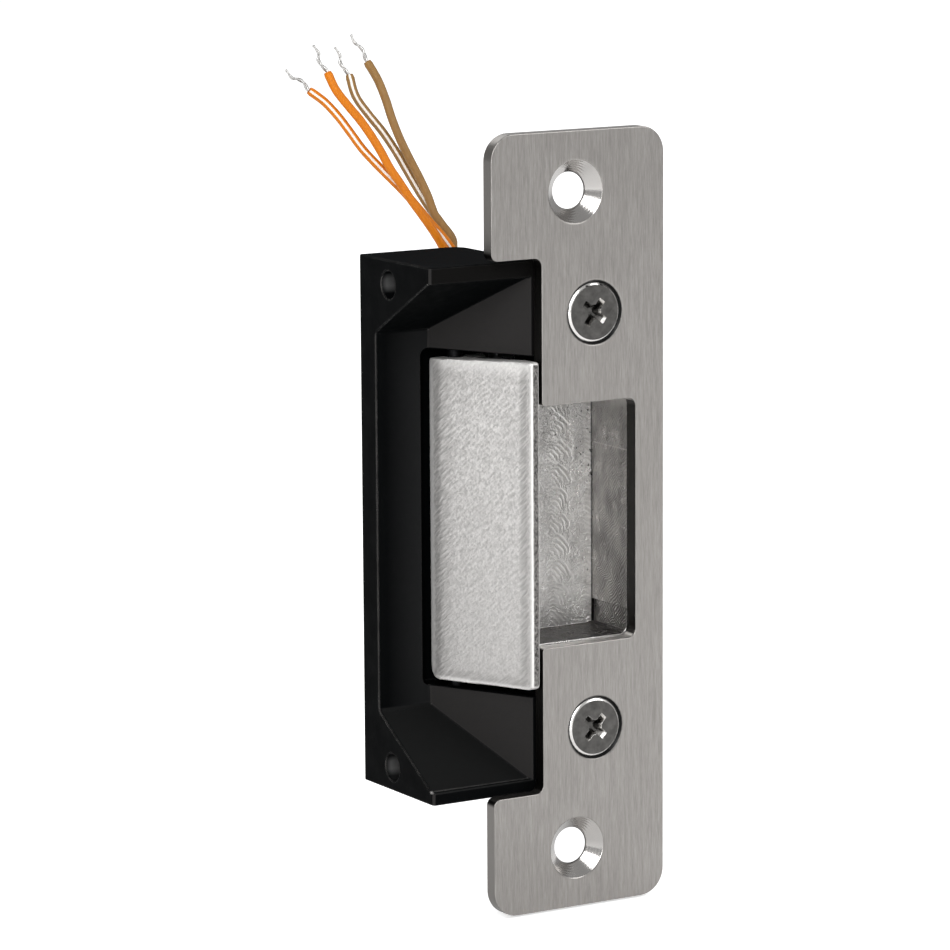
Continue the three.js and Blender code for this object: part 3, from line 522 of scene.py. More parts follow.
def milled_steel():
    """End-milled steel: crescents on the latch pocket's floor, slanted passes on its wall; painted
    light and shade.
    """
    mat = Shader("milled_steel", Metallic=1.0)
    wall = mat.spread(mat.facing(X), 0.5, 0.8)
    on_floor = mat.spread(mat.facing(Y), 0.5, 0.8)
    drift = mat.minus(mat.noise(2.6, detail=5, roughness=0.68), 0.5)
    wander = mat.times(drift, CUTTER_WANDER)
    across = mat.plus(mat.x, wander)
    along = mat.minus(mat.z, wander)
    floor_marks = 0.5
    for column in CUTTER_COLUMNS:
        marks, covers = cutter_column(mat, across, along, column)
        floor_marks = mat.blend(covers, floor_marks, marks)
    slanted = mat.plus(mat.times(mat.y, 1.25), mat.z)
    bowed = mat.plus(slanted, mat.times(mat.noise(3.0, detail=2), 4.0))
    wall_marks = mat.spread(mat.math("SINE", mat.times(bowed, 9.0)), -1.0, 1.0)
    marks = mat.blend(wall, floor_marks, wall_marks)
    patches = mat.noise((2.5, 2.5, 3.5), detail=4, roughness=0.6)
    shine = mat.spread(patches, 0.32, 0.55, 0.35, 1.0)
    inside = mat.spread(mat.z, SMOOTH_FROM - 0.5, SMOOTH_FROM, 1.0, 0.12)
    marks = mat.both(marks, shine, inside)
    speckle = mat.spread(mat.noise(0.24, detail=3, roughness=0.7), 0.34, 0.66)
    marks = mat.blend(0.25, marks, mat.both(speckle, inside))
    # Painted light: the floor is lighter towards the wall and towards the bottom.
    toward_wall = mat.spread(mat.x, 5.5, 8.5, 0.0, 0.5)
    lift = mat.either(toward_wall, mat.fall(mat.z, -17.0, -4.0))
    lighter = mat.mix(lift, (0.56, 0.547, 0.533), (0.98, 0.96, 0.94))
    bright = mat.mix(marks, lighter, (1.0, 0.985, 0.965))
    # Darker in broad patches.
    patchy = mat.mix(mat.spread(patches, 0.5, 0.75, 0.0, 0.45), bright, (0.34, 0.32, 0.305))
    pits = mat.both(
        mat.fall(mat.noise(0.7, detail=1), 0.27, 0.32),
        mat.spread(mat.plus(mat.x, mat.z), 12.0, 17.0, 0.15, 1.0),
    )
    band_edge = mat.between(mat.z, SMOOTH_FROM + 0.05, SMOOTH_FROM + 0.15, 0.1)
    patchy = mat.mix(mat.both(band_edge, on_floor, 0.8), patchy, (0.9, 0.88, 0.86))
    pitted = mat.mix(pits, patchy, (0.1, 0.095, 0.09))
    mist = mat.spread(mat.noise((3.0, 3.0, 5.0), detail=3), 0.35, 0.65)
    # Painted shade: the walls are painted darker than the floor, in misty patches.
    wall_tone = mat.mix(mist, (0.12, 0.115, 0.11), (0.33, 0.318, 0.306))
    scratch = mat.fall(mat.away(mat.z, SCRATCH_HEIGHT), 0.05, 0.13)
    wall_tone = mat.mix(scratch, wall_tone, (0.42, 0.4, 0.385))
    # Painted shade: a dark line along the low panel's seam, and the panel below it darker.
    clear_of_seam = mat.spread(mat.away(mat.z, SEAM_HEIGHT), 0.06, 0.16)
    panel = mat.spread(mat.z, SEAM_HEIGHT - 0.1, SEAM_HEIGHT + 0.1, 0.6, 1.0)
    wall_tone = mat.mix(mat.both(panel, clear_of_seam), (0.03, 0.028, 0.027), wall_tone)
    walled = mat.mix(mat.times(wall, 0.85), pitted, wall_tone)
    # Painted shade: the pocket's level faces are dark.
    shelf = mat.mix(mat.spread(mat.facing(Z), 0.5, 0.8), walled, (0.06, 0.056, 0.053))
    # Painted shade: a dark line on the floor along its corner with the wall.
    near_corner = mat.both(mat.spread(mat.x, CORNER_X, CORNER_X + 0.2), on_floor)
    mat.colour(mat.mix(near_corner, shelf, (0.02, 0.019, 0.018)))
    mat.uneven(patches, 0.24, 0.4)
    mat.bump(marks, 0.08)
    return mat.material


def plated_steel(name, dark, light, rough, grain):
    """Plated steel: a cloudy tone, faint handling marks and a fine grain of that size."""
    mat = Shader(name, Metallic=1.0)
    cloud = mat.noise(grain * 8, detail=4, roughness=0.6)
    mat.colour(mat.mix(mat.spread(cloud, 0.3, 0.7), dark, light))
    scratches = mat.noise((grain * 0.6, grain * 9, grain * 2), detail=3)
    mat.uneven(scratches, rough - 0.07, rough + 0.09)
    under = mat.bump(mat.noise(grain, detail=3), 0.008)
    mat.bump(scratches, 0.006, under=under)
    return mat.material


SCREW_FACE_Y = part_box("faceplate_screw_upper")[0].y / MM


def screw_steel():
    """Dull nickel: a grey face, a painted highlight on the chamfer round it and the recess's mouth,
    painted shade deeper in the recess.
    """
    mat = Shader("screw_steel", Metallic=1.0)
    cloud = mat.noise(1.6, detail=4, roughness=0.6)
    face = mat.mix(mat.spread(cloud, 0.3, 0.7), (0.075, 0.073, 0.07), (0.14, 0.136, 0.131))
    # Painted highlight on the chamfer and the recess's mouth; painted shade deeper down.
    slanted = mat.fall(mat.facing(Y), 0.9, 0.985)
    at_chamfer = mat.spread(from_holes(mat, BODY_HOLE), 2.8, 3.2)
    bright_depth = mat.blend(at_chamfer, 0.45, 0.4)
    depth = mat.minus(mat.y, SCREW_FACE_Y)
    near_face = mat.fall(mat.minus(depth, bright_depth), -0.05, 0.1)
    metal = mat.mix(near_face, (0.16, 0.155, 0.149), (0.8, 0.785, 0.765))
    mat.colour(mat.mix(slanted, face, metal))
    mat.roughness(mat.blend(slanted, 0.36, 0.24))
    mat.bump(mat.noise(0.25, detail=3), 0.008)
    return mat.material


def drawn_wire(name, dark, light, rough):
    """Drawn wire or turned pins: fine lines along z."""
    mat = Shader(name, Metallic=1.0)
    lines = mat.noise((0.1, 0.1, 3.0), detail=3)
    mat.colour(mat.mix(mat.spread(lines, 0.3, 0.7), dark, light))
    mat.uneven(mat.noise(1.0, detail=3), rough - 0.05, rough + 0.1)
    mat.bump(lines, 0.006)
    return mat.material


def nylon():
    """Natural nylon, slightly uneven in colour, with a moulded grain."""
    mat = Shader("nylon")
    mat.colour(mat.mix(mat.noise(2.0, detail=3), (0.6, 0.55, 0.43), (0.76, 0.72, 0.61)))
    mat.uneven(mat.noise(0.8), 0.42, 0.58)
    mat.bump(mat.noise(0.3, detail=2), 0.01)
    return mat.material


def black_rubber():
    """Matt moulded rubber with a dusty bloom."""
    mat = Shader("black_rubber")
    bloom = mat.spread(mat.noise(1.2, detail=4), 0.45, 0.75, 0.0, 0.6)
    mat.colour(mat.mix(bloom, (0.01, 0.01, 0.01), (0.03, 0.03, 0.031)))
    mat.uneven(mat.noise(0.5), 0.62, 0.82)
    mat.bump(mat.noise(0.2, detail=3), 0.012)
    return mat.material


STRIPE = {"half_width": 0.042, "blur": 0.008, "white": (0.86, 0.84, 0.79)}


def insulation(name, dark, light, striped):
    """Extruded PVC. The tube's u runs round it, and a stripe is centred on u = 0.5."""
    mat = Shader(name, Specular_IOR_Level=0.2)
    base = mat.mix(mat.noise((0.6, 0.6, 2.5), detail=3), dark, light)
    if striped:
        u = mat.node("SeparateXYZ", {0: mat.coordinates.outputs["UV"]}).outputs[0]
        wander = mat.times(mat.minus(mat.noise(3.0), 0.5), 0.05)
        aside = mat.away(mat.plus(u, wander), 0.5)
        half, blur = STRIPE["half_width"], STRIPE["blur"]
        base = mat.mix(mat.spread(aside, half - blur, half + blur), STRIPE["white"], base)
    mat.colour(base)
    mat.uneven(mat.noise(0.9, detail=3), 0.34, 0.5)
    mat.bump(mat.noise((0.25, 0.25, 1.2), detail=2), 0.012)
    return mat.material


MATERIALS = {
    "brushed_plate": brushed_plate(),
    "black_casting": black_casting(),
    "keeper_metal": keeper_metal(),
    "milled_steel": milled_steel(),
    "screw_steel": screw_steel(),
    "zinc_plated": plated_steel("zinc_plated", (0.42, 0.43, 0.45), (0.6, 0.6, 0.6), 0.36, 0.4),
    "spring_steel": drawn_wire("spring_steel", (0.3, 0.3, 0.31), (0.5, 0.5, 0.5), 0.28),
    # Painted shade: the pivot pins are near black, for the shade in the gaps where they show.
    "black_oxide": drawn_wire("black_oxide", (0.01, 0.01, 0.011), (0.026, 0.026, 0.028), 0.5),
    "copper_wire": drawn_wire("copper_wire", (0.45, 0.13, 0.04), (0.68, 0.25, 0.09), 0.3),
    "tinned_wire": drawn_wire("tinned_wire", (0.4, 0.395, 0.385), (0.66, 0.65, 0.635), 0.35),
    "nylon": nylon(),
    "black_rubber": black_rubber(),
}
ORANGE = ((0.54, 0.145, 0.003), (0.7, 0.21, 0.006))
BROWN = ((0.22, 0.115, 0.035), (0.33, 0.19, 0.066))
LEAD_MATERIALS = {
    "orange": insulation("orange_insulation", *ORANGE, striped=False),
    "orange_white": insulation("orange_white_insulation", *ORANGE, striped=True),
    "brown": insulation("brown_insulation", *BROWN, striped=False),
    "brown_white": insulation("brown_white_insulation", *BROWN, striped=True),
}


# ---- tubes along a line ----
def smooth_line(points, parts=6):
    """A Catmull-Rom curve through the points, with that many short straights between two."""
    knots = [Vector(p) for p in points]
    knots = [2 * knots[0] - knots[1], *knots, 2 * knots[-1] - knots[-2]]
    line = []
    for a, b, c, d in zip(knots, knots[1:], knots[2:], knots[3:]):
        for i in range(parts):
            t = i / parts
            line.append(
                0.5 * (2 * b + (c - a) * t + (2 * a - 5 * b + 4 * c - d) * t**2
                       + (3 * b - a - 3 * c + d) * t**3)
            )
    line.append(knots[-2])
    return line


def section_frames(line, facing):
    """At each point of a line: the point, the side that faces a direction, and the other side."""
    frames = []
    for i, point in enumerate(line):
        along = (line[min(i + 1, len(line) - 1)] - line[max(i - 1, 0)]).normalized()
        front = (facing - along * facing.dot(along)).normalized()
        frames.append((point, front, along.cross(front)))
    return frames


def add_tube(mesh, frames, radii, sides):
    """Adds a tube through the frames. Its u runs round it, with the front side at u = 0.5."""
    layer = mesh.loops.layers.uv.verify()
    rings = []
    for (point, front, side), radius in zip(frames, radii):
        ring = []
        for k in range(sides):
            turn = 2 * math.pi * k / sides
            outward = math.cos(turn) * front + math.sin(turn) * side
            ring.append(mesh.verts.new(point - radius * outward))
        rings.append(ring)
    for i, (low, high) in enumerate(zip(rings, rings[1:])):
        for k in range(sides):
            face = mesh.faces.new((low[k], low[(k + 1) % sides], high[(k + 1) % sides], high[k]))
            face.smooth = True
            across = (k, k + 1, k + 1, k)
            ahead = (i, i, i + 1, i + 1)
            for loop, u, v in zip(face.loops, across, ahead):
                loop[layer].uv = (u / sides, v / (len(rings) - 1))
    for ring in (rings[0][::-1], rings[-1]):
        mesh.faces.new(ring)


# ---- leads ----
# Each route is the one in the CAD source. The white stripes run along the side that is
# towards the door.
LEAD_RADIUS = 0.7 * MM
STRIPE_SIDE = Vector((-0.5, -0.85, 0.15)).normalized()
CRIMP = {"mouth": 0.86, "swell": 1.03}
STRAND = {"radius": 0.21 * MM, "orbit": 0.16 * MM, "pitch": 3.1 * MM}
LEADS = {
    "orange": {
        "points": [
            (-3.8, 26.3, 32.0), (-3.8, 28.1, 32.1), (-3.9, 29.6, 33.1), (-4.1, 30.4, 34.7),
            (-4.5, 30.6, 36.4), (-5.1, 30.7, 38.1), (-6.2, 30.7, 40.9), (-7.6, 31.4, 43.6),
            (-9.0, 32.4, 46.1), (-10.4, 33.6, 48.6), (-11.7, 34.7, 51.2), (-13.0, 35.8, 53.7),
            (-14.1, 36.8, 56.4), (-15.3, 37.9, 59.0), (-16.7, 39.0, 61.5), (-18.4, 40.0, 63.9),
            (-19.9, 41.0, 66.3), (-20.7, 42.2, 69.0),
        ],
        "end": [
            (-20.8, 42.3, 69.3), (-21.6, 42.6, 70.2), (-21.9, 43.0, 71.0), (-21.6, 43.4, 72.0),
            (-22.3, 43.9, 73.3),
        ],
    },
    "orange_white": {
        "points": [
            (-1.8, 26.3, 32.0), (-1.9, 28.1, 31.9), (-1.9, 29.8, 32.3), (-1.9, 31.3, 33.3),
            (-2.0, 32.3, 34.8), (-2.2, 32.7, 36.6), (-3.1, 32.6, 39.7), (-4.9, 32.9, 42.3),
            (-6.7, 33.9, 44.7), (-8.4, 35.0, 47.2), (-10.3, 36.0, 49.7), (-12.3, 37.0, 52.0),
            (-14.3, 38.0, 54.3), (-16.2, 39.0, 56.7), (-17.8, 40.0, 59.3), (-19.4, 41.1, 61.9),
            (-21.3, 42.2, 64.3), (-23.7, 42.9, 66.2),
        ],
        "end": [
            (-23.9, 43.1, 66.4), (-24.3, 43.5, 67.4), (-25.2, 43.7, 68.0), (-26.3, 43.9, 68.3),
            (-27.1, 44.4, 69.6),
        ],
    },
    "brown": {
        "points": [
            (-1.8, 26.3, 30.0), (-1.8, 28.1, 29.9), (-1.8, 29.9, 30.0), (-1.9, 31.6, 30.4),
            (-1.9, 33.2, 31.2), (-1.9, 34.2, 32.7), (-1.8, 34.6, 36.1), (-1.9, 34.5, 39.5),
            (-2.9, 34.9, 42.7), (-4.4, 36.2, 45.5), (-5.0, 37.5, 48.6), (-5.9, 38.8, 51.7),
            (-7.0, 40.0, 54.7), (-7.9, 41.3, 57.7), (-8.6, 42.6, 60.9), (-9.0, 43.9, 64.0),
            (-9.7, 45.2, 67.1), (-10.9, 46.5, 70.0),
        ],
        "end": [
            (-11.1, 46.7, 70.5), (-11.2, 47.1, 71.6), (-11.7, 47.5, 72.4), (-12.5, 47.8, 73.1),
            (-12.8, 48.3, 74.3),
        ],
    },
    "brown_white": {
        "points": [
            (-3.8, 26.3, 30.0), (-3.8, 28.1, 30.0), (-3.7, 29.9, 30.0), (-3.7, 31.7, 30.0),
            (-3.7, 33.5, 30.3), (-3.6, 35.1, 31.1), (-3.2, 36.6, 34.2), (-2.0, 36.6, 37.5),
            (-0.9, 36.4, 40.9), (-2.5, 37.4, 43.9), (-4.2, 38.7, 46.8), (-5.6, 40.0, 49.8),
            (-6.9, 41.3, 52.9), (-8.2, 42.5, 55.9), (-9.8, 43.8, 58.9), (-11.7, 45.0, 61.7),
            (-13.3, 46.2, 64.6), (-13.6, 47.6, 67.9),
        ],
        "end": [
            (-13.9, 47.7, 68.2), (-14.4, 48.0, 69.0), (-14.8, 48.4, 69.8), (-14.6, 48.9, 71.0),
            (-15.2, 49.4, 72.3),
        ],
    },
}


def make_insulation(name, points):
    """The lead's tube and its centreline, with a crimped mouth at its stripped end."""
    line = smooth_line(points)
    frames = section_frames(line, STRIPE_SIDE)
    waver = random.Random(name)
    radii = [LEAD_RADIUS * (1 + waver.uniform(-0.012, 0.012)) for _ in line]
    radii[-1] *= CRIMP["mouth"]
    radii[-2] *= CRIMP["swell"]
    mesh = bmesh.new()
    add_tube(mesh, frames, radii, 20)
    bmesh.ops.recalc_face_normals(mesh, faces=mesh.faces)
    material = LEAD_MATERIALS[name]
    return add_piece(f"{name}_insulation", mesh, "root", material, [f"lead_{name}"]), line


def make_strands(name, start, points):
    """Two bare wires twisted about a kinked line, thinner and closer together at the tip."""
    line = smooth_line([start, *points], parts=10)
    frames = section_frames(line, STRIPE_SIDE)
    run = [0.0]
    for a, b in zip(line, line[1:]):
        run.append(run[-1] + (b - a).length)
    mesh = bmesh.new()
    for half_turn in (0.0, math.pi):
        centres = []
        for (point, front, side), s in zip(frames, run):
            turn = half_turn + 2 * math.pi * s / STRAND["pitch"]
            orbit = STRAND["orbit"] * (1 - 0.45 * s / run[-1])
            centres.append(point + orbit * (math.cos(turn) * front + math.sin(turn) * side))
        radii = [STRAND["radius"] * (1 - 0.4 * (s / run[-1]) ** 2) for s in run]
        add_tube(mesh, section_frames(centres, STRIPE_SIDE), radii, 10)
    bmesh.ops.recalc_face_normals(mesh, faces=mesh.faces)
    slot = "tinned_wire"
    return add_piece(f"{name}_strands", mesh, "root", MATERIALS[slot], [f"lead_end_{name}"])


for lead_name, lead in LEADS.items():
    route, bare_route = (
        [tuple(part * MM for part in point) for point in lead[key]] for key in ("points", "end")
    )
    tube, centreline = make_insulation(lead_name, route)
    strands = make_strands(lead_name, route[-1], bare_route)


# ---- CAD pieces with finished edges ----
def welded(node):
    """A bmesh of a CAD node with its facets joined into flat faces."""
    mesh = bmesh.new()
    mesh.from_mesh(frame["nodes"][node].data)
    bmesh.ops.remove_doubles(mesh, verts=mesh.verts, dist=0.002 * MM)
    bmesh.ops.dissolve_limit(
        mesh,
        angle_limit=math.radians(0.6),
        verts=mesh.verts,
        edges=mesh.edges,
        use_dissolve_boundaries=False,
    )
    return mesh


# An edge sharper than SHARP is rounded, and one sharper than CREASED breaks the smooth shading.
SHARP = math.radians(28)
CREASED = math.radians(40)


def shade(piece):
    """Smooth shading, broken only at creased edges, with flat faces kept flat."""
    for polygon in piece.data.polygons:
        polygon.use_smooth = True
    piece.data.set_sharp_from_angle(angle=CREASED)
    weighted = piece.modifiers.new("weighted_normals", "WEIGHTED_NORMAL")
    weighted.keep_sharp = True


def mark_sharp_edges(mesh):
    """Gives each sharp edge the whole of the rounding."""
    layer = mesh.edges.layers.float.new("bevel_weight_edge")
    for edge in mesh.edges:
        if len(edge.link_faces) == 2 and edge.calc_face_angle(0) > SHARP:
            edge[layer] = 1.0


def rounded(piece, width, segments, limit):
    """Gives a piece a bevel of a width in millimetres on the edges that the limit picks."""
    bevel = piece.modifiers.new("rounded_edges", "BEVEL")
    bevel.limit_method = limit
    bevel.width = width * MM
    bevel.segments = segments
    return bevel


def finish_node(node, width, segments):
    """A new piece with a CAD node's shape and its sharp edges rounded to a width."""
    mesh = welded(node)
    mark_sharp_edges(mesh)
    piece = finished_piece(node, mesh)
    bevel = rounded(piece, width, segments, "WEIGHT")
    bevel.use_clamp_overlap = False
    bevel.loop_slide = False
    shade(piece)


# How wide each node's edges are rounded, and in how many steps.
EDGES = {
    "faceplate": (0.16, 3),
    "housing": (0.22, 3),
    "latch_pocket_block": (0.1, 2),
    "back_cover": (0.15, 2),
    "lead_grommet": (0.12, 3),
    "locking_lever": (0.08, 2),
    "solenoid_frame": (0.08, 2),
    "solenoid_plunger": (0.06, 2),
    "solenoid_core": (0.1, 2),
    "keeper_pivot_pin": (0.12, 2),
    "lever_pivot_pin": (0.1, 2),
    "plunger_link_pin": (0.08, 2),
    "coil_bobbin": (0.06, 2),
}
for node_name, (edge_width, edge_segments) in EDGES.items():
    finish_node(node_name, edge_width, edge_segments)


# ---- solids made in millimetres ----
def lathe(axis, centre, profile, sides):
    """A solid of revolution about an axis through a point: the profile lists (radius, distance)."""
    mesh = bmesh.new()
    rings = []
    for radius, along in profile:
        count = 1 if radius == 0 else sides
        ring = []
        for k in range(count):
            turn = 2 * math.pi * k / sides
            a, b = radius * math.cos(turn), radius * math.sin(turn)
            offset = {"x": (along, a, b), "y": (a, along, b), "z": (a, b, along)}[axis]
            ring.append(mesh.verts.new(Vector(centre) + Vector(offset)))
        rings.append(ring)
    for low, high in zip(rings, rings[1:]):
        for k in range(sides):
            corners = [low[k % len(low)], low[(k + 1) % sides % len(low)]]
            corners += [high[(k + 1) % sides % len(high)], high[k % len(high)]]
            mesh.faces.new(list(dict.fromkeys(corners)))
    bmesh.ops.recalc_face_normals(mesh, faces=mesh.faces)
    return mesh


def tapered_block(centre, turn, top, bottom, high, low):
    """A block along y whose half sizes (long, wide) change from its high to its low end."""
    mesh = bmesh.new()
    loops = []
    for (long, wide), along in ((top, high), (bottom, low)):
        loop = []
        for a, b in ((-long, -wide), (long, -wide), (long, wide), (-long, wide)):
            x = a * math.cos(turn) - b * math.sin(turn)
            z = a * math.sin(turn) + b * math.cos(turn)
            loop.append(mesh.verts.new((centre[0] + x, along, centre[1] + z)))
        loops.append(loop)
    mesh.faces.new(loops[0])
    mesh.faces.new(loops[1][::-1])
    for k in range(4):
        after = (k + 1) % 4
        mesh.faces.new((loops[0][k], loops[0][after], loops[1][after], loops[1][k]))
    bmesh.ops.recalc_face_normals(mesh, faces=mesh.faces)
    return mesh


def evaluated(helper):
    """The mesh of an object with its modifiers applied, as a bmesh."""
    depsgraph = bpy.context.evaluated_depsgraph_get()
    result = bmesh.new()
    result.from_mesh(helper.evaluated_get(depsgraph).to_mesh())
    return result


def drop(helpers):
    for helper in helpers:
        data = helper.data
        bpy.data.objects.remove(helper)
        bpy.data.meshes.remove(data)


def carve(mesh, tools):
    """The solid with each tool's shape cut out of it."""
    blank = object_from("helper", mesh)
    cutters = [object_from("helper", tool) for tool in tools]
    for cutter in cutters:
        difference = blank.modifiers.new("cut", "BOOLEAN")
        difference.operation = "DIFFERENCE"
        difference.solver = "EXACT"
        difference.object = cutter
    result = evaluated(blank)
    drop([blank, *cutters])
    return result


def add_solid(node, mesh, rounding=0.0):
    """A piece for a CAD node from a mesh in millimetres, with its sharp edges rounded."""
    bmesh.ops.scale(mesh, vec=(MM, MM, MM), verts=mesh.verts)
    piece = finished_piece(node, mesh)
    if rounding:
        rounded(piece, rounding, 2, "ANGLE").angle_limit = SHARP
    shade(piece)


def box_mm(node):
    """A CAD node's lowest and highest corners, in millimetres."""
    return [Vector(corner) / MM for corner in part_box(node)]


def thread(radius, start, end, pitch=0.8, depth=0.22):
    """A shank's profile with a ridge at each pitch, as (radius, distance)."""
    count = max(1, round(abs(end - start) / pitch))
    step = (end - start) / count
    points = [(radius, start)]
    for i in range(count):
        points.append((radius - depth, start + (i + 0.5) * step))
        points.append((radius, start + (i + 1) * step))
    return points


# ---- screws ----
def phillips(centre, face, outward, reach, depth, turn):
    """The tools that cut a cross recess: two tapering arms and a cone in the middle."""
    start = face + outward * 0.3
    end = face - outward * depth
    arms = [
        tapered_block(centre, angle, (reach, reach * 0.25), (reach * 0.5, reach * 0.08), start, end)
        for angle in (turn, turn + math.pi / 2)
    ]
    cone = [(0, start), (reach * 0.52, start), (reach * 0.2, end), (0, end - outward * 0.15)]
    return [*arms, lathe("y", (centre[0], 0, centre[1]), cone, 24)]


# The screw's flat face, its chamfer, its shank, its cross and the gap to its countersink.
FACEPLATE_SCREW = {
    "land": 4.34,
    "bevel": 0.3,
    "shank": 2.4,
    "reach": 2.6,
    "depth": 1.6,
    "gap": 0.08,
}


def faceplate_screw(node, turn):
    """A countersunk screw: a flat face, a chamfer round it with a painted highlight, a cone and a
    threaded shank.
    """
    low, high = box_mm(node)
    head = (high.x - low.x) / 2 - FACEPLATE_SCREW["gap"]
    x, z = (low.x + high.x) / 2, (low.z + high.z) / 2
    face, tip = low.y, high.y
    land, bevel, shank = (FACEPLATE_SCREW[key] for key in ("land", "bevel", "shank"))
    neck = face + 0.15 + head - shank
    profile = [(0, face), (land, face), (head - 0.1, face + bevel * 0.6), (head, face + bevel)]
    profile += [(head, face + bevel + 0.25), (shank, neck)]
    profile += thread(shank, neck + 0.4, tip - 0.8)
    profile += [(shank - 0.7, tip), (0, tip)]
    body = lathe("y", (x, 0, z), profile, 64)
    tools = phillips((x, z), face, -1, FACEPLATE_SCREW["reach"], FACEPLATE_SCREW["depth"], turn)
    add_solid(node, carve(body, tools), 0.1)


def pan_screw(node, turn, shank):
    """A screw driven from the back: a domed head over a threaded shank."""
    low, high = box_mm(node)
    head = (high.x - low.x) / 2
    x, z = (low.x + high.x) / 2, (low.z + high.z) / 2
    top = high.y
    seat = top - 1.2 if head < 2 else top - 1.8
    profile = [(0, low.y), (shank - 0.3, low.y), *thread(shank, low.y + 0.4, seat - 0.3, 0.6, 0.15)]
    profile += [(shank, seat), (head, seat), (head, top - 0.62), (head * 0.97, top - 0.4)]
    profile += [(head * 0.85, top - 0.16), (head * 0.6, top - 0.04), (head * 0.3, top), (0, top)]
    body = lathe("y", (x, 0, z), profile, 40)
    tools = phillips((x, z), top, 1, head * 0.62, 0.85, turn)
    add_solid(node, carve(body, tools), 0.04)


faceplate_screw("faceplate_screw_upper", math.radians(52))
faceplate_screw("faceplate_screw_lower", math.radians(47))
for screw_number, screw_turn in enumerate((20, 65, 5, 48), start=1):
    pan_screw(f"cover_screw_{screw_number}", math.radians(screw_turn), 0.95)
pan_screw("pocket_block_screw_upper", math.radians(30), 1.4)
pan_screw("pocket_block_screw_lower", math.radians(72), 1.4)


# ---- springs and the coil ----
POINTS_PER_TURN = 24


def coil_points(axis, centre, radius, low, high, turns):
    """Points of a helix about an axis through a point, in metres, from millimetres."""
    points = []
    steps = turns * POINTS_PER_TURN
    for i in range(steps + 1):
        turn = 2 * math.pi * turns * i / steps
        a, b = radius * math.cos(turn), radius * math.sin(turn)
        along = low + (high - low) * i / steps
        offset = (a, b, along) if axis == "z" else (along, a, b)
        points.append((Vector(centre) + Vector(offset)) * MM)
    return points


def add_spring(node, points, wire):
    """A piece of round wire along the points. The wire's radius is in millimetres."""
    mesh = bmesh.new()
    frames = section_frames(points, Vector((0.3, 0.2, 1)).normalized())
    add_tube(mesh, frames, [wire * MM] * len(points), 12)
    bmesh.ops.recalc_face_normals(mesh, faces=mesh.faces)
    piece = finished_piece(node, mesh)
    shade(piece)
    return piece


def joint_named(name):
    joints = frame["record"]["behaviour"]["joints"]
    return next(joint for joint in joints if joint["name"] == name)


def keeper_spring():
    """A torsion spring: close turns with a straight leg at each end."""
    low, high = box_mm("keeper_return_spring")
    wire, mean, leg = 0.33, 2.1, 3.1
    joint = Vector(joint_named("keeper_swing")["pos_m"]) / MM
    bottom, top = low.z + wire, high.z - wire
    coil = coil_points("z", (joint.x, joint.y, 0), mean, bottom, top, 9)
    side = joint.x + mean
    steps = [i / 6 for i in range(6, 0, -1)]
    lower_leg = [Vector((side, joint.y + leg * s, bottom)) * MM for s in steps]
    upper_leg = [Vector((side, joint.y - leg * s, top)) * MM for s in reversed(steps)]
    add_spring("keeper_return_spring", lower_leg + coil + upper_leg, wire)


def plunger_return_spring():
    """Moves with the plunger, with a mesh of its own."""
    low, high = box_mm("plunger_spring")
    wire = 0.19
    centre = (0, (low.y + high.y) / 2, (low.z + high.z) / 2)
    points = coil_points("x", centre, 2.15, low.x + wire, high.x - wire, 4)
    piece = add_spring("plunger_spring", points, wire)
    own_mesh(piece)


def winding():
    """The coil's turns: a ridge of enamelled wire beside the next, over the whole bobbin."""
    low, high = box_mm("coil_winding")
    wire = 0.27
    outer = (high.y - low.y) / 2
    inner = 2.6
    turns = round((high.x - low.x) / (2 * wire))
    pitch = (high.x - low.x) / turns
    profile = [(inner, low.x)]
    for i in range(turns):
        for k in range(5):
            turn = math.pi * k / 4
            along = low.x + pitch * (i + 0.5 - 0.49 * math.cos(turn))
            profile.append((outer - wire + wire * math.sin(turn), along))
    profile += [(inner, high.x), (inner, low.x)]
    centre = (0, (low.y + high.y) / 2, (low.z + high.z) / 2)
    mesh = lathe("x", centre, profile, 64)
    bmesh.ops.remove_doubles(mesh, verts=mesh.verts, dist=0.001)
    add_solid("coil_winding", mesh)


keeper_spring()
plunger_return_spring()
winding()


# ---- keeper ----
# The CAD keeper, melted a little at its edges, dished on its outer face and mottled all over.
KEEPER = {
    "voxel": 0.22,
    "smoothing": 10,
    "mottle": 0.018,
    "mottle_size": 0.75,
    "dish": 0.3,
    "rim": 2.3,
    "low_corner": 3.2,
    "high_corner": 1.6,
}
LIP_EDGE = Vector((-8.5, 0.05, 0))
FACE_NORMAL = Vector((-KEEPER_FACE["along"], -KEEPER_FACE["across"], 0)).normalized()
FACE_ALONG = Vector((FACE_NORMAL.y, -FACE_NORMAL.x, 0))
PIVOT_Y = 17.6
BARREL_RADIUS = 2.3


def remeshed(mesh, voxel, smoothing):
    """The shape as an even grid of small faces, with its edges melted round. Millimetres."""
    helper = object_from("helper", mesh)
    remesh = helper.modifiers.new("remesh", "REMESH")
    remesh.mode = "VOXEL"
    remesh.voxel_size = voxel
    smooth = helper.modifiers.new("smooth", "SMOOTH")
    smooth.factor = 0.5
    smooth.iterations = smoothing
    result = evaluated(helper)
    drop([helper])
    return result


def corner_cut(past, radius):
    """How far a round corner draws in the end, at a distance past its start."""
    if past <= 0:
        return 0.0
    return radius - math.sqrt(max(radius**2 - min(past, radius) ** 2, 0.0))


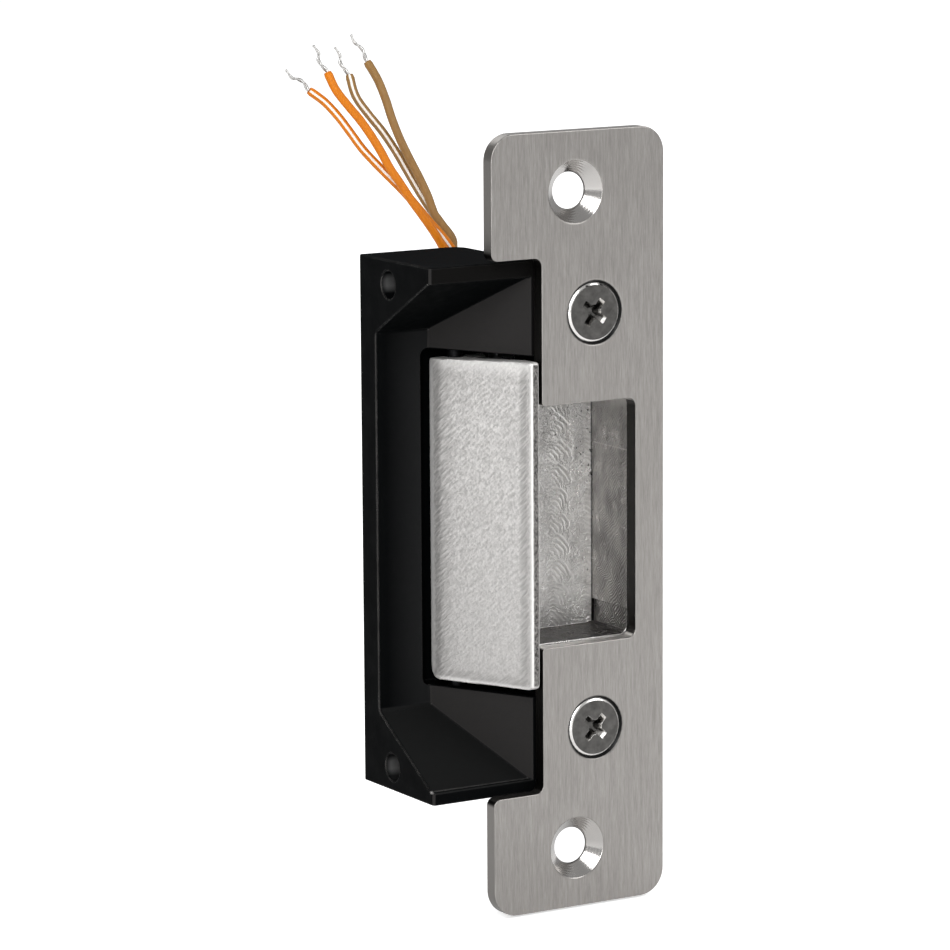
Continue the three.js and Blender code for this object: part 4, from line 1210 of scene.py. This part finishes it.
def round_deep_corners(point, half):
    """The keeper's ends draw in round the barrel: more at the bottom than at the top."""
    silhouette = PIVOT_Y + BARREL_RADIUS
    low, high = KEEPER["low_corner"], KEEPER["high_corner"]
    if point.z < 0:
        share = max(0.0, 1 - (point.z + half) / (2.5 * low))
        point.z += share * corner_cut(point.y - silhouette + low, low)
    else:
        share = max(0.0, 1 - (half - point.z) / (2 * high))
        point.z -= share * corner_cut(point.y - silhouette + high, high)


def eased(share):
    """0 up to 1 with a level start and end."""
    held = min(1.0, max(0.0, share))
    return held * held * (3 - 2 * held)


def face_dish(point, normal, half):
    """How far the outer face lies below its rim at a point."""
    facing = normal.dot(FACE_NORMAL)
    from_lip = abs((point - LIP_EDGE).dot(FACE_ALONG))
    from_end = half - abs(point.z)
    hollow = eased(from_lip / KEEPER["rim"]) * eased(from_end / KEEPER["rim"])
    return KEEPER["dish"] * hollow * eased((facing - 0.7) / 0.3)


def make_keeper():
    mesh = welded("keeper")
    bmesh.ops.scale(mesh, vec=(1 / MM, 1 / MM, 1 / MM), verts=mesh.verts)
    mesh = remeshed(mesh, KEEPER["voxel"], KEEPER["smoothing"])
    low, high = box_mm("keeper")
    half = (high.z - low.z) / 2
    mesh.normal_update()
    for vert in mesh.verts:
        spot = vert.co / KEEPER["mottle_size"]
        bump = noise.fractal(spot, 1.0, 2.0, 3) * KEEPER["mottle"]
        vert.co += vert.normal * (bump - face_dish(vert.co, vert.normal, half))
        round_deep_corners(vert.co, half)
    add_solid("keeper", mesh)


make_keeper()


# ---- floor, lights and the world ----
FLOOR = {"height": cad_box[0].z - 0.4 * MM, "radius": 3.0}


def seen_or_lighting(tree, socket, lighting, seen):
    """Gives a strength one value as a background and another as light on the object."""
    path = tree.nodes.new("ShaderNodeLightPath")
    strength = tree.nodes.new("ShaderNodeMapRange")
    strength.inputs["To Min"].default_value = lighting
    strength.inputs["To Max"].default_value = seen
    tree.links.new(path.outputs["Is Camera Ray"], strength.inputs["Value"])
    tree.links.new(strength.outputs[0], socket)


def make_floor():
    mesh = bmesh.new()
    bmesh.ops.create_circle(mesh, cap_ends=True, segments=96, radius=FLOOR["radius"])
    floor = object_from("floor", mesh)
    floor.location.z = FLOOR["height"]
    material = bpy.data.materials.new("floor")
    material.use_nodes = True
    surface = material.node_tree.nodes["Principled BSDF"]
    surface.inputs["Base Color"].default_value = (0.9, 0.9, 0.9, 1)
    surface.inputs["Roughness"].default_value = 0.9
    surface.inputs["Specular IOR Level"].default_value = 0.0
    surface.inputs["Emission Color"].default_value = (1, 1, 1, 1)
    seen_or_lighting(material.node_tree, surface.inputs["Emission Strength"], 0.12, 0.6)
    floor.data.materials.append(material)


LIGHTS_AIM_AT = Vector((0, 0.01, 0))


def add_light(name, place, size, power):
    data = bpy.data.lights.new(name, "AREA")
    data.shape = "RECTANGLE"
    data.size, data.size_y = size
    data.energy = power
    light = bpy.data.objects.new(name, data)
    light.location = place
    light.rotation_euler = (LIGHTS_AIM_AT - Vector(place)).to_track_quat("-Z", "Y").to_euler()
    bpy.context.scene.collection.objects.link(light)


def make_world():
    world = bpy.data.worlds.new("studio")
    bpy.context.scene.world = world
    world.use_nodes = True
    tree = world.node_tree
    background = tree.nodes["Background"]
    background.inputs["Color"].default_value = (1, 1, 1, 1)
    seen_or_lighting(tree, background.inputs["Strength"], 0.42, 1.0)


make_floor()
add_light("key", (-0.8, -0.8, 0.9), (0.8, 0.8), 12)
add_light("fill", (0.42, -0.5, 0.42), (0.4, 0.35), 1.7)
add_light("back", (0.2, 1.2, 1.2), (1.2, 0.8), 9)
add_light("edge_strip", (-0.95, -1.1, 0.1), (0.06, 1.1), 6)
make_world()
bpy.context.scene.view_settings.view_transform = "Standard"
